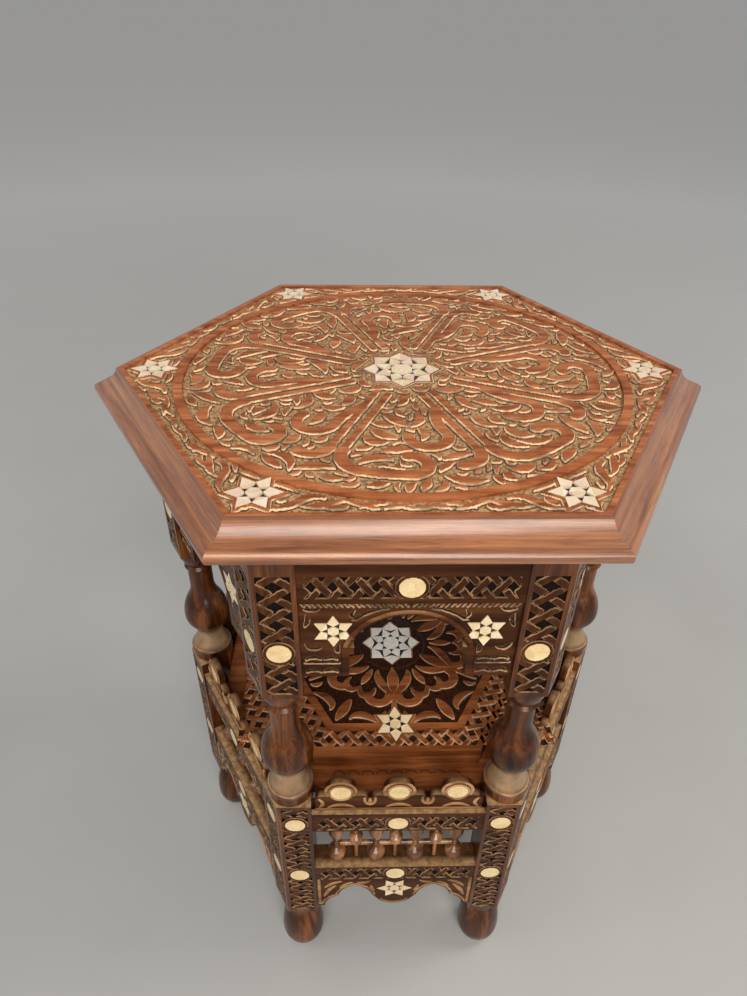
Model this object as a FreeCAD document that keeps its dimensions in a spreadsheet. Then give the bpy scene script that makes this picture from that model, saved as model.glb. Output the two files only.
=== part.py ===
import FreeCAD, Part
import math
import os
from types import SimpleNamespace

import Sketcher

# A hexagonal side table with an inlaid and carved top, six turned legs, open arches round the
# upper half, a low shelf with scalloped galleries, and turned spindle screens above cusped aprons.
# Millimetres, +Z up, origin on the floor at the middle of the table. The front face looks along -Y.

SIZES = {
    # Six-sided case: distance from the middle to a face, and the leg's section at each corner
    "case_apothem": 160,
    "stile_width": 26,
    "leg_depth": 27,
    "leg_axis_inset": 20,
    # Heights that stack up from the floor to the lower block's top
    "foot_height": 74,
    "apron_clearance": 9,
    "apron_height": 64,
    "screen_height": 55.4,
    "middle_rail_height": 23.6,
    "block_rise": 12,
    # Turned baluster between the lower and the upper block of a leg
    "base_disc_height": 8,
    "base_overhang": 0.8,
    "collar_height": 4,
    "collar_overhang": 2.2,
    "waist_height": 21,
    "waist_radius": 10.5,
    "bulb_lower_height": 16,
    "bulb_upper_height": 20,
    "bulb_radius": 19.2,
    "bulb_shoulder_radius": 14,
    "neck_flare_height": 14,
    "neck_height": 18,
    "neck_radius": 10,
    "neck_bead_height": 5,
    "neck_bead_radius": 12,
    "shoulder_height": 20,
    # Heights above the baluster
    "block_drop": 18,
    "arch_panel_height": 65,
    "upper_rail_height": 53,
    "top_thickness": 20,
    # Turned foot
    "foot_neck_radius": 14,
    "foot_waist_radius": 12.5,
    "foot_waist_drop": 16,
    "foot_ball_radius": 18.8,
    "foot_ball_centre": 20,
    "foot_flat_radius": 10,
    # Rails, their tenons and their carved bands
    "rail_setback": 1,
    "rail_thickness": 20,
    "tenon_length": 9,
    "tenon_thickness": 8,
    "tenon_inset": 5,
    "tenon_shoulder": 6,
    "apron_tenon_margin": 3.5,
    "joint_clearance": 0.2,
    "band_depth": 1.5,
    "band_end_margin": 4,
    "rail_band_height": 17,
    "upper_band_centre": 12.5,
    "middle_band_centre": 10,
    "apron_band_drop": 11,
    "stile_band_width": 20,
    "stile_band_margin": 4,
    "stile_band_top": 22,
    # Bone discs
    "disc_radius": 7.75,
    "upper_disc_height": 42,
    "middle_disc_drop": 25,
    "lower_disc_height": 63,
    # Arch panels
    "panel_setback": 3,
    "panel_thickness": 8,
    "panel_groove_depth": 4,
    "arch_half_width": 36.6,
    "arch_rise": 28,
    "arch_crown": 11,
    "archivolt_width": 5,
    "nib_reach": 3,
    "nib_height": 6,
    "arch_star_radius": 13.2,
    "arch_star_inset": 20.4,
    "arch_star_drop": 24.8,
    # Cusped apron
    "apron_apex_offset": 32.3,
    "apron_apex_drop": 29.5,
    "apron_centre_drop": 61.5,
    "apron_tip_half_width": 13,
    "apron_tip_rise": 6,
    "apron_cusp_half_width": 19,
    "apron_cusp_rise": 15.3,
    "apron_shoulder_offset": 48,
    "apron_shoulder_drop": 47,
    "apron_foot_width": 6.4,
    "apron_foot_height": 3,
    "apron_inner_radius": 24,
    "apron_outer_radius": 20,
    "apron_tip_radius": 17,
    "apron_star_radius": 15,
    "apron_star_drop": 36,
    # Scalloped gallery above the middle rail
    "gallery_setback": 4,
    "gallery_thickness": 5.5,
    "gallery_end_gap": 0.8,
    "gallery_valley_height": 14,
    "gallery_disc_height": 22,
    "gallery_disc_depth": 1.5,
    "lobe_centre_height": 23.5,
    "lobe_radius": 11.8,
    "lobe_spacing": 43.8,
    "scallop_rise": 5,
    "end_scallop_rise": 4,
    "tongue_thickness": 4,
    "tongue_depth": 5,
    # Shelf
    "rabbet_width": 6,
    "shelf_base_thickness": 12,
    "shelf_corner_gap": 0.5,
    "shelf_panel_margin": 23,
    "shelf_panel_thickness": 17,
    "shelf_edge_width": 5,
    "shelf_lattice_width": 15.5,
    "shelf_band_width": 6.5,
    "shelf_strap_pitch": 13.6,
    "shelf_strap_width": 3.2,
    "shelf_centre_star_radius": 25.5,
    "shelf_rim_star_radius": 17,
    "shelf_rim_star_inset": 26.4,
    # Spindle screen
    "spindle_depth": 12,
    "spindle_spacing": 32.5,
    "spindle_foot_radius": 3.2,
    "spindle_ball_radius": 7.8,
    "spindle_neck_radius": 2.4,
    "spindle_neck_height": 9,
    "spindle_cup_height": 13,
    "spindle_cup_radius": 6.2,
    "spindle_top_radius": 4.8,
    "cross_pin_radius": 1.8,
    "cross_bead_radius": 6.2,
    "cross_bead_height": 27.5,
    "cross_peg_radius": 2.2,
    # Top board and its moulded edge
    "top_overhang": 10.5,
    "moulding_width": 17.5,
    "bead_radius": 4.5,
    "cove_radius": 16,
    "fillet_width": 2,
    "fillet_height": 1,
    "relief_depth": 2,
    "relief_rise": 1.5,
    "boss_margin": 4,
    "ring_margin": 14,
    "ring_width": 6,
    "border_width": 3,
    "centre_star_radius": 26.5,
    "corner_star_radius": 16,
    "corner_star_inset": 24.4,
    # Inlay of every star: dark mastic bed, and the gap that it fills between the pieces
    "bed_thickness": 0.6,
    "bed_margin": 0.5,
    "mastic_gap": 0.3,
    # Glue blocks under the top
    "cleat_length": 80,
    "cleat_width": 16,
    "cleat_height": 18,
}

SIDES = 6
STEP_ANGLE = 360 / SIDES
COS30 = math.cos(math.radians(30))
TAN30 = math.tan(math.radians(30))
SPINDLES_PER_SCREEN = 4
STRAPS_PER_SIDE = 8
EIGHT_POINTS = 8
# Shares of the roundel's radius: the pair of straps on each ray, as reach and distance from the ray
ROUNDEL_STRAP_REACH = (0.26, 0.76)
ROUNDEL_STRAP_SIDES = (0.016, 0.041)
# Carved scrolls beside each ray: start, heading, bends as radius and degrees to the left, half width
ROUNDEL_SCROLLS = [
    ((0.757, 0.0285), 0, [(0.108, 99), (0.878, 12), (0.064, 95), (0.064, 95)], 0.024),
    ((0.405, -0.034), -35, [(0.27, 40), (0.081, -105), (0.081, -105)], 0.0216),
    ((0.757, -0.0285), 0, [(0.075, -115)], 0.023),
]
# Shares of the shelf field's apothem, on each ray through a side: hooked leaves, and pointed ones
SHELF_HOOK = ((0.67, 0.04), 5, [(0.105, 85), (0.105, 80)], 0.036)
SHELF_LEAVES = [(0, 0.36, 0.63), (30, 0.85, 1.08)]
LEAF_FULLNESS = 0.85
# Bulge of a scroll's round end: its arc's radius as a share of the half width
CAP_SHARE = 1.08
# Angles above and below the middle of a spindle's ball and of a cross's bead, where their bands meet
BALL_ANGLES = (-38, -12, 12, 38)
BEAD_ANGLES = (-28, 28)
# Length by which a cutting tool runs past the face that it opens
OVERRUN = 1.0
# Shares of a star's own radius: the middle piece, and the inner ring of kites of an eight-point star
HEART_SHARE = 0.30
INNER_TIP_SHARE = 0.73
INNER_SIDE_SHARE = 0.45
OUTER_HEEL_SHARE = 0.61


class Length:
    """A size that carries both its value and the sheet formula that gives it."""

    def __init__(self, value, formula):
        self.value = float(value)
        self.formula = formula

    def __add__(self, other):
        other = as_length(other)
        return Length(self.value + other.value, f"({self.formula} + {other.formula})")

    def __sub__(self, other):
        other = as_length(other)
        return Length(self.value - other.value, f"({self.formula} - {other.formula})")

    def __mul__(self, other):
        other = as_length(other)
        return Length(self.value * other.value, f"({self.formula} * {other.formula})")

    def __truediv__(self, other):
        other = as_length(other)
        return Length(self.value / other.value, f"({self.formula} / {other.formula})")

    def __neg__(self):
        return Length(-self.value, f"(0 - {self.formula})")

    def root(self):
        return Length(math.sqrt(self.value), f"sqrt({self.formula})")


def as_length(number):
    if isinstance(number, Length):
        return number
    return Length(number, repr(float(number)))


ZERO = as_length(0)

doc = FreeCAD.newDocument("inlaid_side_table")
sheet = doc.addObject("Spreadsheet::Sheet", "Sizes")
for row, (alias, number) in enumerate(SIZES.items(), start=1):
    sheet.set(f"A{row}", alias)
    sheet.set(f"B{row}", str(number))
    sheet.setAlias(f"B{row}", alias)
doc.recompute()
s = SimpleNamespace(**{alias: Length(sheet.get(alias), f"Sizes.{alias}") for alias in SIZES})

# Levels above the floor, each stacked on the one below
apron_bottom = s.foot_height + s.apron_clearance
apron_top = apron_bottom + s.apron_height
middle_rail_bottom = apron_top + s.screen_height
middle_rail_top = middle_rail_bottom + s.middle_rail_height
lower_block_top = middle_rail_top + s.block_rise
collar_bottom = lower_block_top + s.base_disc_height
collar_top = collar_bottom + s.collar_height
waist_level = collar_top + s.waist_height
bulb_level = waist_level + s.bulb_lower_height
bulb_top = bulb_level + s.bulb_upper_height
flare_top = bulb_top + s.neck_flare_height
neck_top = flare_top + s.neck_height
shoulder_bottom = neck_top + s.neck_bead_height
upper_block_bottom = shoulder_bottom + s.shoulder_height
panel_bottom = upper_block_bottom + s.block_drop
upper_rail_bottom = panel_bottom + s.arch_panel_height
case_top = upper_rail_bottom + s.upper_rail_height
table_top = case_top + s.top_thickness

# Distances in plan
half_face = s.case_apothem * TAN30
half_span = half_face - s.stile_width
case_corner = s.case_apothem / COS30
leg_axis = case_corner - s.leg_axis_inset
block_radius = leg_axis / 2 - half_span
rail_front = s.case_apothem - s.rail_setback
rail_back = rail_front - s.rail_thickness
panel_front = s.case_apothem - s.panel_setback
panel_ground = panel_front - s.band_depth
gallery_front = rail_front - s.gallery_setback
field_apothem = s.case_apothem + s.top_overhang
ring_outer = field_apothem - s.ring_margin
shelf_apothem = rail_back - s.shelf_panel_margin
stile_middle = half_face - s.stile_width / 2
upper_band_level = upper_rail_bottom + s.upper_band_centre
middle_band_level = middle_rail_bottom + s.middle_band_centre
apron_band_level = apron_top - s.apron_band_drop
apron_apex_level = apron_top - s.apron_apex_drop
apron_tenon_bottom = apron_apex_level + s.apron_tenon_margin
apron_tenon_top = apron_top - s.tenon_shoulder

nodes = []


def keep(feature, name):
    """Labels a finished sub-part, so that it is written to a file of that name."""
    feature.Label = name
    nodes.append(feature)
    return feature


def turned(angle):
    return FreeCAD.Placement(FreeCAD.Vector(0, 0, 0), FreeCAD.Rotation(FreeCAD.Vector(0, 0, 1), angle))


def new_body(name):
    return doc.addObject("PartDesign::Body", name)


def origin_feature(body, role):
    return next(item for item in body.Origin.OriginFeatures if item.Role == role)


def new_sketch(body, role, name, offset=ZERO, shift=ZERO):
    """A sketch on one of the body's origin planes, moved along the plane's normal and its own X."""
    sketch = body.newObject("Sketcher::SketchObject", name)
    sketch.AttachmentSupport = (origin_feature(body, role), [""])
    sketch.MapMode = "FlatFace"
    sketch.setExpression("AttachmentOffset.Base.z", offset.formula)
    sketch.setExpression("AttachmentOffset.Base.x", shift.formula)
    return sketch


def hold(sketch, kind, value, *where):
    """Adds a dimension to a sketch and binds it to its formula."""
    index = sketch.addConstraint(Sketcher.Constraint(kind, *where, value.value))
    sketch.setExpression(f"Constraints[{index}]", value.formula)


def arc_between(start, end, radius, turn):
    """The short arc from start to end: turn 1 runs counter-clockwise, and -1 clockwise."""
    chord = end - start
    left = FreeCAD.Vector(-chord.y, chord.x, 0).normalize()
    reach = math.sqrt(max(radius**2 - chord.Length**2 / 4, 0))
    centre = (start + end) * 0.5 + left * reach * turn
    first, last = (start, end) if turn > 0 else (end, start)
    angles = [math.atan2(point.y - centre.y, point.x - centre.x) for point in (first, last)]
    return Part.ArcOfCircle(Part.Circle(centre, FreeCAD.Vector(0, 0, 1), radius), *angles)


def outline(sketch, points):
    """Draws a closed outline. A point is (x, y), or (x, y, radius, turn) where an arc ends at it."""
    points = [tuple(as_length(item) for item in point[:3]) + tuple(point[3:]) for point in points]
    places = [FreeCAD.Vector(point[0].value, point[1].value, 0) for point in points]
    edges = []
    for index, point in enumerate(points):
        start, end = places[index - 1], places[index]
        if len(point) == 2:
            edges.append((sketch.addGeometry(Part.LineSegment(start, end), False), 1, 2))
        else:
            arc = sketch.addGeometry(arc_between(start, end, point[2].value, point[3]), False)
            edges.append((arc, 1, 2) if point[3] > 0 else (arc, 2, 1))
    for index, point in enumerate(points):
        edge, _, tail = edges[index]
        following, head, _ = edges[(index + 1) % len(edges)]
        sketch.addConstraint(Sketcher.Constraint("Coincident", edge, tail, following, head))
        hold(sketch, "DistanceX", point[0], -1, 1, edge, tail)
        hold(sketch, "DistanceY", point[1], -1, 1, edge, tail)
        if len(point) > 2:
            hold(sketch, "Radius", point[2], edge)


def circle(sketch, x, y, radius):
    middle = FreeCAD.Vector(x.value, y.value, 0)
    edge = sketch.addGeometry(Part.Circle(middle, FreeCAD.Vector(0, 0, 1), radius.value), False)
    hold(sketch, "DistanceX", x, -1, 1, edge, 3)
    hold(sketch, "DistanceY", y, -1, 1, edge, 3)
    hold(sketch, "Radius", radius, edge)


def rectangle(sketch, left, bottom, right, top):
    outline(sketch, [(left, bottom), (right, bottom), (right, top), (left, top)])


def hexagon(sketch, apothem, first_angle=0):
    corner = apothem / COS30
    turns = [math.radians(first_angle + STEP_ANGLE * side) for side in range(SIDES)]
    outline(sketch, [(corner * math.cos(turn), corner * math.sin(turn)) for turn in turns])


def pad(body, sketch, name, length, inward=False, both_ways=False):
    feature = body.newObject("PartDesign::Pad", name)
    feature.Profile = sketch
    feature.setExpression("Length", length.formula)
    feature.Reversed = inward
    feature.Midplane = both_ways
    return feature


def pocket(body, sketch, name, depth):
    feature = body.newObject("PartDesign::Pocket", name)
    feature.Profile = sketch
    feature.setExpression("Length", depth.formula)
    return feature


def polar_pattern(body, originals, count=SIDES):
    feature = body.newObject("PartDesign::PolarPattern", body.Name + "_round")
    feature.Originals = originals
    feature.Axis = (origin_feature(body, "Z_Axis"), [""])
    feature.Angle = 360
    feature.Occurrences = count
    body.Tip = feature


def boolean(kind, name, base, tool):
    feature = doc.addObject("Part::" + kind, name)
    feature.Base = base
    feature.Tool = tool
    return feature


def compound(name, members):
    feature = doc.addObject("Part::Compound", name)
    feature.Links = members
    return feature


def six_of(kind, name, base, tool):
    """Six like sub-parts, one to each side, made by one boolean and turned into place."""
    for side in range(SIDES):
        feature = boolean(kind, f"{name}_{side + 1}", base, tool)
        feature.Placement = turned(STEP_ANGLE * side)
        keep(feature, f"{name}_{side + 1}")


def bulge_radius(height, depth):
    """Radius of the arc that starts upright and drifts sideways by depth over that height."""
    return (height * height + depth * depth) / (depth * 2)


def chord_radius(half_width, rise):
    """Radius of the arc over a chord of that half width, with that rise."""
    return (half_width * half_width + rise * rise) / (rise * 2)


def box_in_face(name, angle, start, end, near, far, bottom, top):
    """A box in a face's own frame: start to end along the face, near to far from the middle."""
    cos, sin = math.cos(math.radians(angle)), math.sin(math.radians(angle))
    box = doc.addObject("Part::Box", name)
    box.setExpression("Length", (far - near).formula)
    box.setExpression("Width", (end - start).formula)
    box.setExpression("Height", (top - bottom).formula)
    box.Placement = turned(angle)
    box.setExpression("Placement.Base.x", (near * cos - start * sin).formula)
    box.setExpression("Placement.Base.y", (near * sin + start * cos).formula)
    box.setExpression("Placement.Base.z", bottom.formula)
    return box


# Legs: two blocks of five-sided section with a turned baluster and foot, all of one piece

def leg_section(body, name, bottom):
    """Two stile faces that meet at the corner, two sides square to them, and a narrow back."""
    side_x = case_corner - s.stile_width / 2
    side_y = s.stile_width * COS30
    back_x = side_x - s.leg_depth * COS30
    back_y = side_y - s.leg_depth / 2
    sketch = new_sketch(body, "XY_Plane", name, bottom)
    outline(sketch, [
        (case_corner, ZERO),
        (side_x, side_y),
        (back_x, back_y),
        (back_x, -back_y),
        (side_x, -side_y),
    ])
    return sketch


def turning(body, name, points):
    """A turned length of the leg, as a profile of radius and level about the leg's own axis."""
    sketch = new_sketch(body, "XZ_Plane", name + "_profile", shift=leg_axis)
    outline(sketch, points)
    feature = body.newObject("PartDesign::Revolution", name)
    feature.Profile = sketch
    feature.ReferenceAxis = (sketch, ["V_Axis"])
    feature.Angle = 360


def make_leg_blank():
    body = new_body("leg_blank")
    lower = leg_section(body, "lower_block_section", s.foot_height)
    pad(body, lower, "lower_block", lower_block_top - s.foot_height)
    base_radius = block_radius + s.base_overhang
    turning(body, "baluster", [
        (ZERO, lower_block_top),
        (base_radius, lower_block_top),
        (base_radius, collar_bottom),
        (block_radius, collar_bottom),
        (block_radius, collar_top, chord_radius(s.collar_height / 2, s.collar_overhang), 1),
        (s.waist_radius, waist_level, bulge_radius(s.waist_height, block_radius - s.waist_radius), -1),
        (s.bulb_radius, bulb_level, bulge_radius(s.bulb_lower_height, s.bulb_radius - s.waist_radius), 1),
        (s.bulb_shoulder_radius, bulb_top,
         bulge_radius(s.bulb_upper_height, s.bulb_radius - s.bulb_shoulder_radius), 1),
        (s.neck_radius, flare_top,
         bulge_radius(s.neck_flare_height, s.bulb_shoulder_radius - s.neck_radius), -1),
        (s.neck_radius, neck_top),
        (s.neck_bead_radius, neck_top + s.neck_bead_height / 2),
        (s.neck_radius, shoulder_bottom),
        (block_radius, upper_block_bottom,
         bulge_radius(s.shoulder_height, block_radius - s.neck_radius), 1),
        (ZERO, upper_block_bottom),
    ])
    upper = leg_section(body, "upper_block_section", upper_block_bottom)
    pad(body, upper, "upper_block", case_top - upper_block_bottom)
    waist = s.foot_height - s.foot_waist_drop
    turning(body, "foot", [
        (ZERO, ZERO),
        (s.foot_flat_radius, ZERO),
        (s.foot_ball_radius, s.foot_ball_centre,
         bulge_radius(s.foot_ball_centre, s.foot_ball_radius - s.foot_flat_radius), 1),
        (s.foot_waist_radius, waist,
         bulge_radius(waist - s.foot_ball_centre, s.foot_ball_radius - s.foot_waist_radius), 1),
        (s.foot_neck_radius, s.foot_height),
        (ZERO, s.foot_height),
    ])
    return body


def leg_cuts(name, angle, hand):
    """Mortises, panel groove and carved bands of a leg on the face at that angle."""
    slack = s.joint_clearance
    tenon_face = rail_front - s.tenon_inset + slack
    tenon_back = tenon_face - s.tenon_thickness - slack * 2

    def cut(part, reach, far, near, bottom, top):
        ends = (half_span - OVERRUN, half_span + reach)
        start, end = ends if hand > 0 else (-ends[1], -ends[0])
        return box_in_face(f"{name}_{part}", angle, start, end, near, far, bottom, top)

    def band(part, bottom, top):
        middle = stile_middle * hand
        half = s.stile_band_width / 2
        near, far = s.case_apothem - s.band_depth, s.case_apothem + OVERRUN
        return box_in_face(f"{name}_{part}", angle, middle - half, middle + half, near, far, bottom, top)

    reach = s.tenon_length + slack
    rise = s.tenon_shoulder - slack
    return [
        cut("upper", reach, tenon_face, tenon_back, upper_rail_bottom + rise, case_top - rise),
        cut("middle", reach, tenon_face, tenon_back, middle_rail_bottom + rise, middle_rail_top - rise),
        cut("apron", reach, tenon_face, tenon_back, apron_tenon_bottom - slack, apron_tenon_top + slack),
        cut("groove", s.panel_groove_depth + slack, panel_ground + slack,
            panel_front - s.panel_thickness - slack, panel_bottom - slack, upper_rail_bottom),
        band("upper_band", upper_block_bottom + s.stile_band_margin, upper_rail_bottom + s.stile_band_top),
        band("lower_band", s.foot_height + s.stile_band_margin, lower_block_top - s.stile_band_margin),
    ]


def make_legs():
    cuts = leg_cuts("right_face", -STEP_ANGLE / 2, 1) + leg_cuts("left_face", STEP_ANGLE / 2, -1)
    six_of("Cut", "leg", make_leg_blank(), compound("leg_cuts", cuts))


# Rails: bars between the legs, with tenons and a sunk band for the carving

def bar(body, name, front, thickness, half_length, bottom, top):
    sketch = new_sketch(body, "XZ_Plane", name + "_outline", front)
    rectangle(sketch, -half_length, bottom, half_length, top)
    return pad(body, sketch, name, thickness, inward=True)


def tenons(body, bottom, top):
    """One bar through the rail that stands out at both ends as its tenons."""
    front = rail_front - s.tenon_inset
    bar(body, "tenon_bar", front, s.tenon_thickness, half_span + s.tenon_length, bottom, top)


def sunk_band(name, level):
    half = s.rail_band_height / 2
    reach = half_span - s.band_end_margin
    return box_in_face(name, -90, -reach, reach, rail_front - s.band_depth, rail_front + OVERRUN,
                       level - half, level + half)


def make_upper_rails():
    body = new_body("upper_rail_blank")
    bar(body, "upper_rail_bar", rail_front, s.rail_thickness, half_span, upper_rail_bottom, case_top)
    tenons(body, upper_rail_bottom + s.tenon_shoulder, case_top - s.tenon_shoulder)
    six_of("Cut", "upper_rail", body, sunk_band("upper_band", upper_band_level))


def make_middle_rails():
    body = new_body("middle_rail_blank")
    bar(body, "middle_rail_bar", rail_front, s.rail_thickness, half_span, middle_rail_bottom, middle_rail_top)
    tenons(body, middle_rail_bottom + s.tenon_shoulder, middle_rail_top - s.tenon_shoulder)
    reach = half_span + OVERRUN
    slack = s.joint_clearance
    tongue_front = gallery_front - (s.gallery_thickness - s.tongue_thickness) / 2
    rabbet = box_in_face("shelf_rabbet", -90, -reach, reach, rail_back - OVERRUN, rail_back + s.rabbet_width,
                         middle_rail_top - s.shelf_base_thickness, middle_rail_top + OVERRUN)
    groove = box_in_face("gallery_groove", -90, -reach, reach,
                         tongue_front - s.tongue_thickness - slack, tongue_front + slack,
                         middle_rail_top - s.tongue_depth - slack, middle_rail_top + OVERRUN)
    cuts = compound("middle_rail_cuts", [rabbet, groove, sunk_band("middle_band", middle_band_level)])
    six_of("Cut", "middle_rail", body, cuts)


def make_apron_rails():
    """A rail whose lower edge falls to a middle drop between two pointed and cusped arches."""
    tip_level = apron_top - s.apron_centre_drop
    shoulder_level = apron_top - s.apron_shoulder_drop
    foot_x = half_span - s.apron_foot_width
    foot_level = apron_bottom + s.apron_foot_height

    body = new_body("apron_rail_blank")
    sketch = new_sketch(body, "XZ_Plane", "apron_outline", rail_front)
    outline(sketch, [
        (s.apron_tip_half_width, tip_level + s.apron_tip_rise, s.apron_tip_radius, 1),
        (s.apron_cusp_half_width, tip_level + s.apron_cusp_rise),
        (s.apron_apex_offset, apron_apex_level, s.apron_inner_radius, -1),
        (s.apron_shoulder_offset, shoulder_level, s.apron_outer_radius, -1),
        (foot_x, foot_level, s.apron_outer_radius, -1),
        (foot_x, apron_bottom),
        (half_span, apron_bottom),
        (half_span, apron_top),
        (-half_span, apron_top),
        (-half_span, apron_bottom),
        (-foot_x, apron_bottom),
        (-foot_x, foot_level),
        (-s.apron_shoulder_offset, shoulder_level, s.apron_outer_radius, -1),
        (-s.apron_apex_offset, apron_apex_level, s.apron_outer_radius, -1),
        (-s.apron_cusp_half_width, tip_level + s.apron_cusp_rise, s.apron_inner_radius, -1),
        (-s.apron_tip_half_width, tip_level + s.apron_tip_rise),
        (ZERO, tip_level, s.apron_tip_radius, 1),
    ])
    pad(body, sketch, "apron_board", s.rail_thickness, inward=True)
    tenons(body, apron_tenon_bottom, apron_tenon_top)
    seat = star_prism("apron_star_seat", face_frame(rail_front, ZERO, apron_star_level()),
                      star_edge(s.apron_star_radius, SIDES, 0), s.band_depth)
    cuts = compound("apron_cuts", [sunk_band("apron_band", apron_band_level), seat])
    six_of("Cut", "apron_rail", body, cuts)


# Arch panels: a thin board with an open arch, and a raised band round the opening

def arch_side(half_width, rise, crown, nib):
    """Right-hand points of the arch from its foot up to the springing, then the arc to the left."""
    springing = crown - rise
    points = [(half_width, panel_bottom)]
    if nib:
        points += [
            (half_width, springing - s.nib_height),
            (half_width - s.nib_reach, springing - s.nib_height),
            (half_width - s.nib_reach, springing),
        ]
    points.append((half_width, springing))
    return points


def mirrored(points):
    return [(-x, y) for x, y in reversed(points)]


def arch_path(half_width, rise, crown, nib=False):
    right = arch_side(half_width, rise, crown, nib)
    left = mirrored(right)
    spring_x, spring_y = left[0]
    return right + [(spring_x, spring_y, chord_radius(half_width, rise), 1)] + left[1:]


def make_arch_panels():
    crown = upper_rail_bottom - s.arch_crown
    opening = arch_path(s.arch_half_width, s.arch_rise, crown, nib=True)
    band = s.archivolt_width
    edge = half_span + s.panel_groove_depth
    body = new_body("arch_panel_blank")
    board = new_sketch(body, "XZ_Plane", "board_outline", panel_ground)
    outline(board, opening + [
        (-edge, panel_bottom),
        (-edge, upper_rail_bottom),
        (edge, upper_rail_bottom),
        (edge, panel_bottom),
    ])
    pad(body, board, "board", s.panel_thickness - s.band_depth, inward=True)
    raised = new_sketch(body, "XZ_Plane", "archivolt_outline", panel_ground)
    outer = arch_path(s.arch_half_width + band, s.arch_rise + band, crown + band)
    back = [(-x, y) for x, y in (point[:2] for point in outer)]
    spring = len(arch_side(s.arch_half_width, s.arch_rise, crown, False))
    back[spring] = back[spring] + (chord_radius(s.arch_half_width + band, s.arch_rise + band), -1)
    outline(raised, opening + back)
    pad(body, raised, "archivolt", s.band_depth)
    seats = [
        star_prism(f"arch_star_seat_{hand}", face_frame(panel_front, *arch_star_place(hand)),
                   star_edge(s.arch_star_radius, SIDES, 90), s.band_depth)
        for hand in (-1, 1)
    ]
    six_of("Cut", "arch_panel", body, compound("arch_star_seats", seats))


# Galleries: boards with three round lobes and small scallops, tongued into the middle rails

def gallery_half_length():
    return half_span - s.collar_overhang - s.gallery_end_gap


def gallery_edge():
    """Upper edge from right to left: lobes at the middle and the sides, scallops between them."""
    valley = middle_rail_top + s.gallery_valley_height
    lobe_top = middle_rail_top + s.lobe_centre_height + s.lobe_radius
    drop = s.lobe_centre_height - s.gallery_valley_height
    lobe_half = (s.lobe_radius * s.lobe_radius - drop * drop).root()
    scallop = s.lobe_spacing / 2 - lobe_half
    scallop_arc = chord_radius(scallop / 2, s.scallop_rise)
    end = gallery_half_length()
    end_half = (end - s.lobe_spacing - lobe_half) / 2
    end_arc = chord_radius(end_half, s.end_scallop_rise)

    def lobe(middle):
        return [
            (middle, lobe_top, s.lobe_radius, 1),
            (middle - lobe_half, valley, s.lobe_radius, 1),
        ]

    points = [(end, valley), (s.lobe_spacing + lobe_half, valley, end_arc, 1)]
    points += lobe(s.lobe_spacing)
    points += [(s.lobe_spacing / 2, valley, scallop_arc, 1), (lobe_half, valley, scallop_arc, 1)]
    points += lobe(ZERO)
    points += [(-s.lobe_spacing / 2, valley, scallop_arc, 1)]
    points += [(lobe_half - s.lobe_spacing, valley, scallop_arc, 1)]
    points += lobe(-s.lobe_spacing)
    return points + [(-end, valley, end_arc, 1)]


def gallery_disc_places():
    level = middle_rail_top + s.gallery_disc_height
    return [(s.lobe_spacing * place, level) for place in (-1, 0, 1)]


def make_galleries():
    end = gallery_half_length()
    body = new_body("gallery_blank")
    sketch = new_sketch(body, "XZ_Plane", "gallery_outline", gallery_front)
    outline(sketch, gallery_edge() + [(-end, middle_rail_top), (end, middle_rail_top)])
    pad(body, sketch, "gallery_board", s.gallery_thickness, inward=True)
    seats = new_sketch(body, "XZ_Plane", "gallery_disc_seats", gallery_front)
    for x, level in gallery_disc_places():
        circle(seats, x, level, s.disc_radius)
    pocket(body, seats, "gallery_seats", s.gallery_disc_depth)
    tongue_front = gallery_front - (s.gallery_thickness - s.tongue_thickness) / 2
    tongue = box_in_face("gallery_tongue", -90, -end, end, tongue_front - s.tongue_thickness, tongue_front,
                         middle_rail_top - s.tongue_depth, middle_rail_top)
    six_of("Fuse", "gallery", body, tongue)


# Carving in low relief: the main forms that stand up from a sunk ground

def ribbon(sketch, scale, start, heading, bends, half_width):
    """A ribbon of even width that runs through bends, with round ends. Its sizes are shares of the scale."""
    place = FreeCAD.Vector(*start, 0)
    left = [place + polar(half_width, heading + 90)]
    right = [place + polar(half_width, heading - 90)]
    arcs = []
    for radius, degrees in bends:
        hand = 1 if degrees > 0 else -1
        centre = place + polar(radius, heading + 90 * hand)
        heading += degrees
        place = centre + polar(radius, heading - 90 * hand)
        left.append(place + polar(half_width, heading + 90))
        right.append(place + polar(half_width, heading - 90))
        arcs.append((radius - half_width * hand, radius + half_width * hand, hand))
    cap = half_width * CAP_SHARE
    points = [(left[0], cap, -1)]
    points += [(point, near, hand) for point, (near, _, hand) in zip(left[1:], arcs)]
    points += [(right[-1], cap, -1)]
    points += [(point, far, -hand) for point, (_, far, hand) in zip(right[-2::-1], arcs[::-1])]
    outline(sketch, [(scale * spot.x, scale * spot.y, scale * radius, turn) for spot, radius, turn in points])


def pointed_leaf(sketch, scale, angle, start, end):
    """Two arcs that meet in points on a ray."""
    tips = [polar(reach, angle) for reach in (start, end)]
    radius = scale * ((end - start) * LEAF_FULLNESS)
    outline(sketch, [(scale * tip.x, scale * tip.y, radius, 1) for tip in tips])


def lattice_straps(sketch, hand, middle, width):
    """Slanting straps across a sunk band, which all lean to one hand."""
    slant = (s.shelf_strap_pitch * s.shelf_strap_pitch + width * width).root()
    half = s.shelf_strap_width * slant / (width * 2)
    low, high = middle - width / 2, middle + width / 2
    for place in range(STRAPS_PER_SIDE):
        foot = s.shelf_strap_pitch * (place - STRAPS_PER_SIDE / 2)
        head = foot + s.shelf_strap_pitch
        outline(sketch, [
            ((foot - half) * hand, low),
            ((foot + half) * hand, low),
            ((head + half) * hand, high),
            ((head - half) * hand, high),
        ])


# Shelf: a base board let into the middle rails, and a carved panel on it

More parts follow.
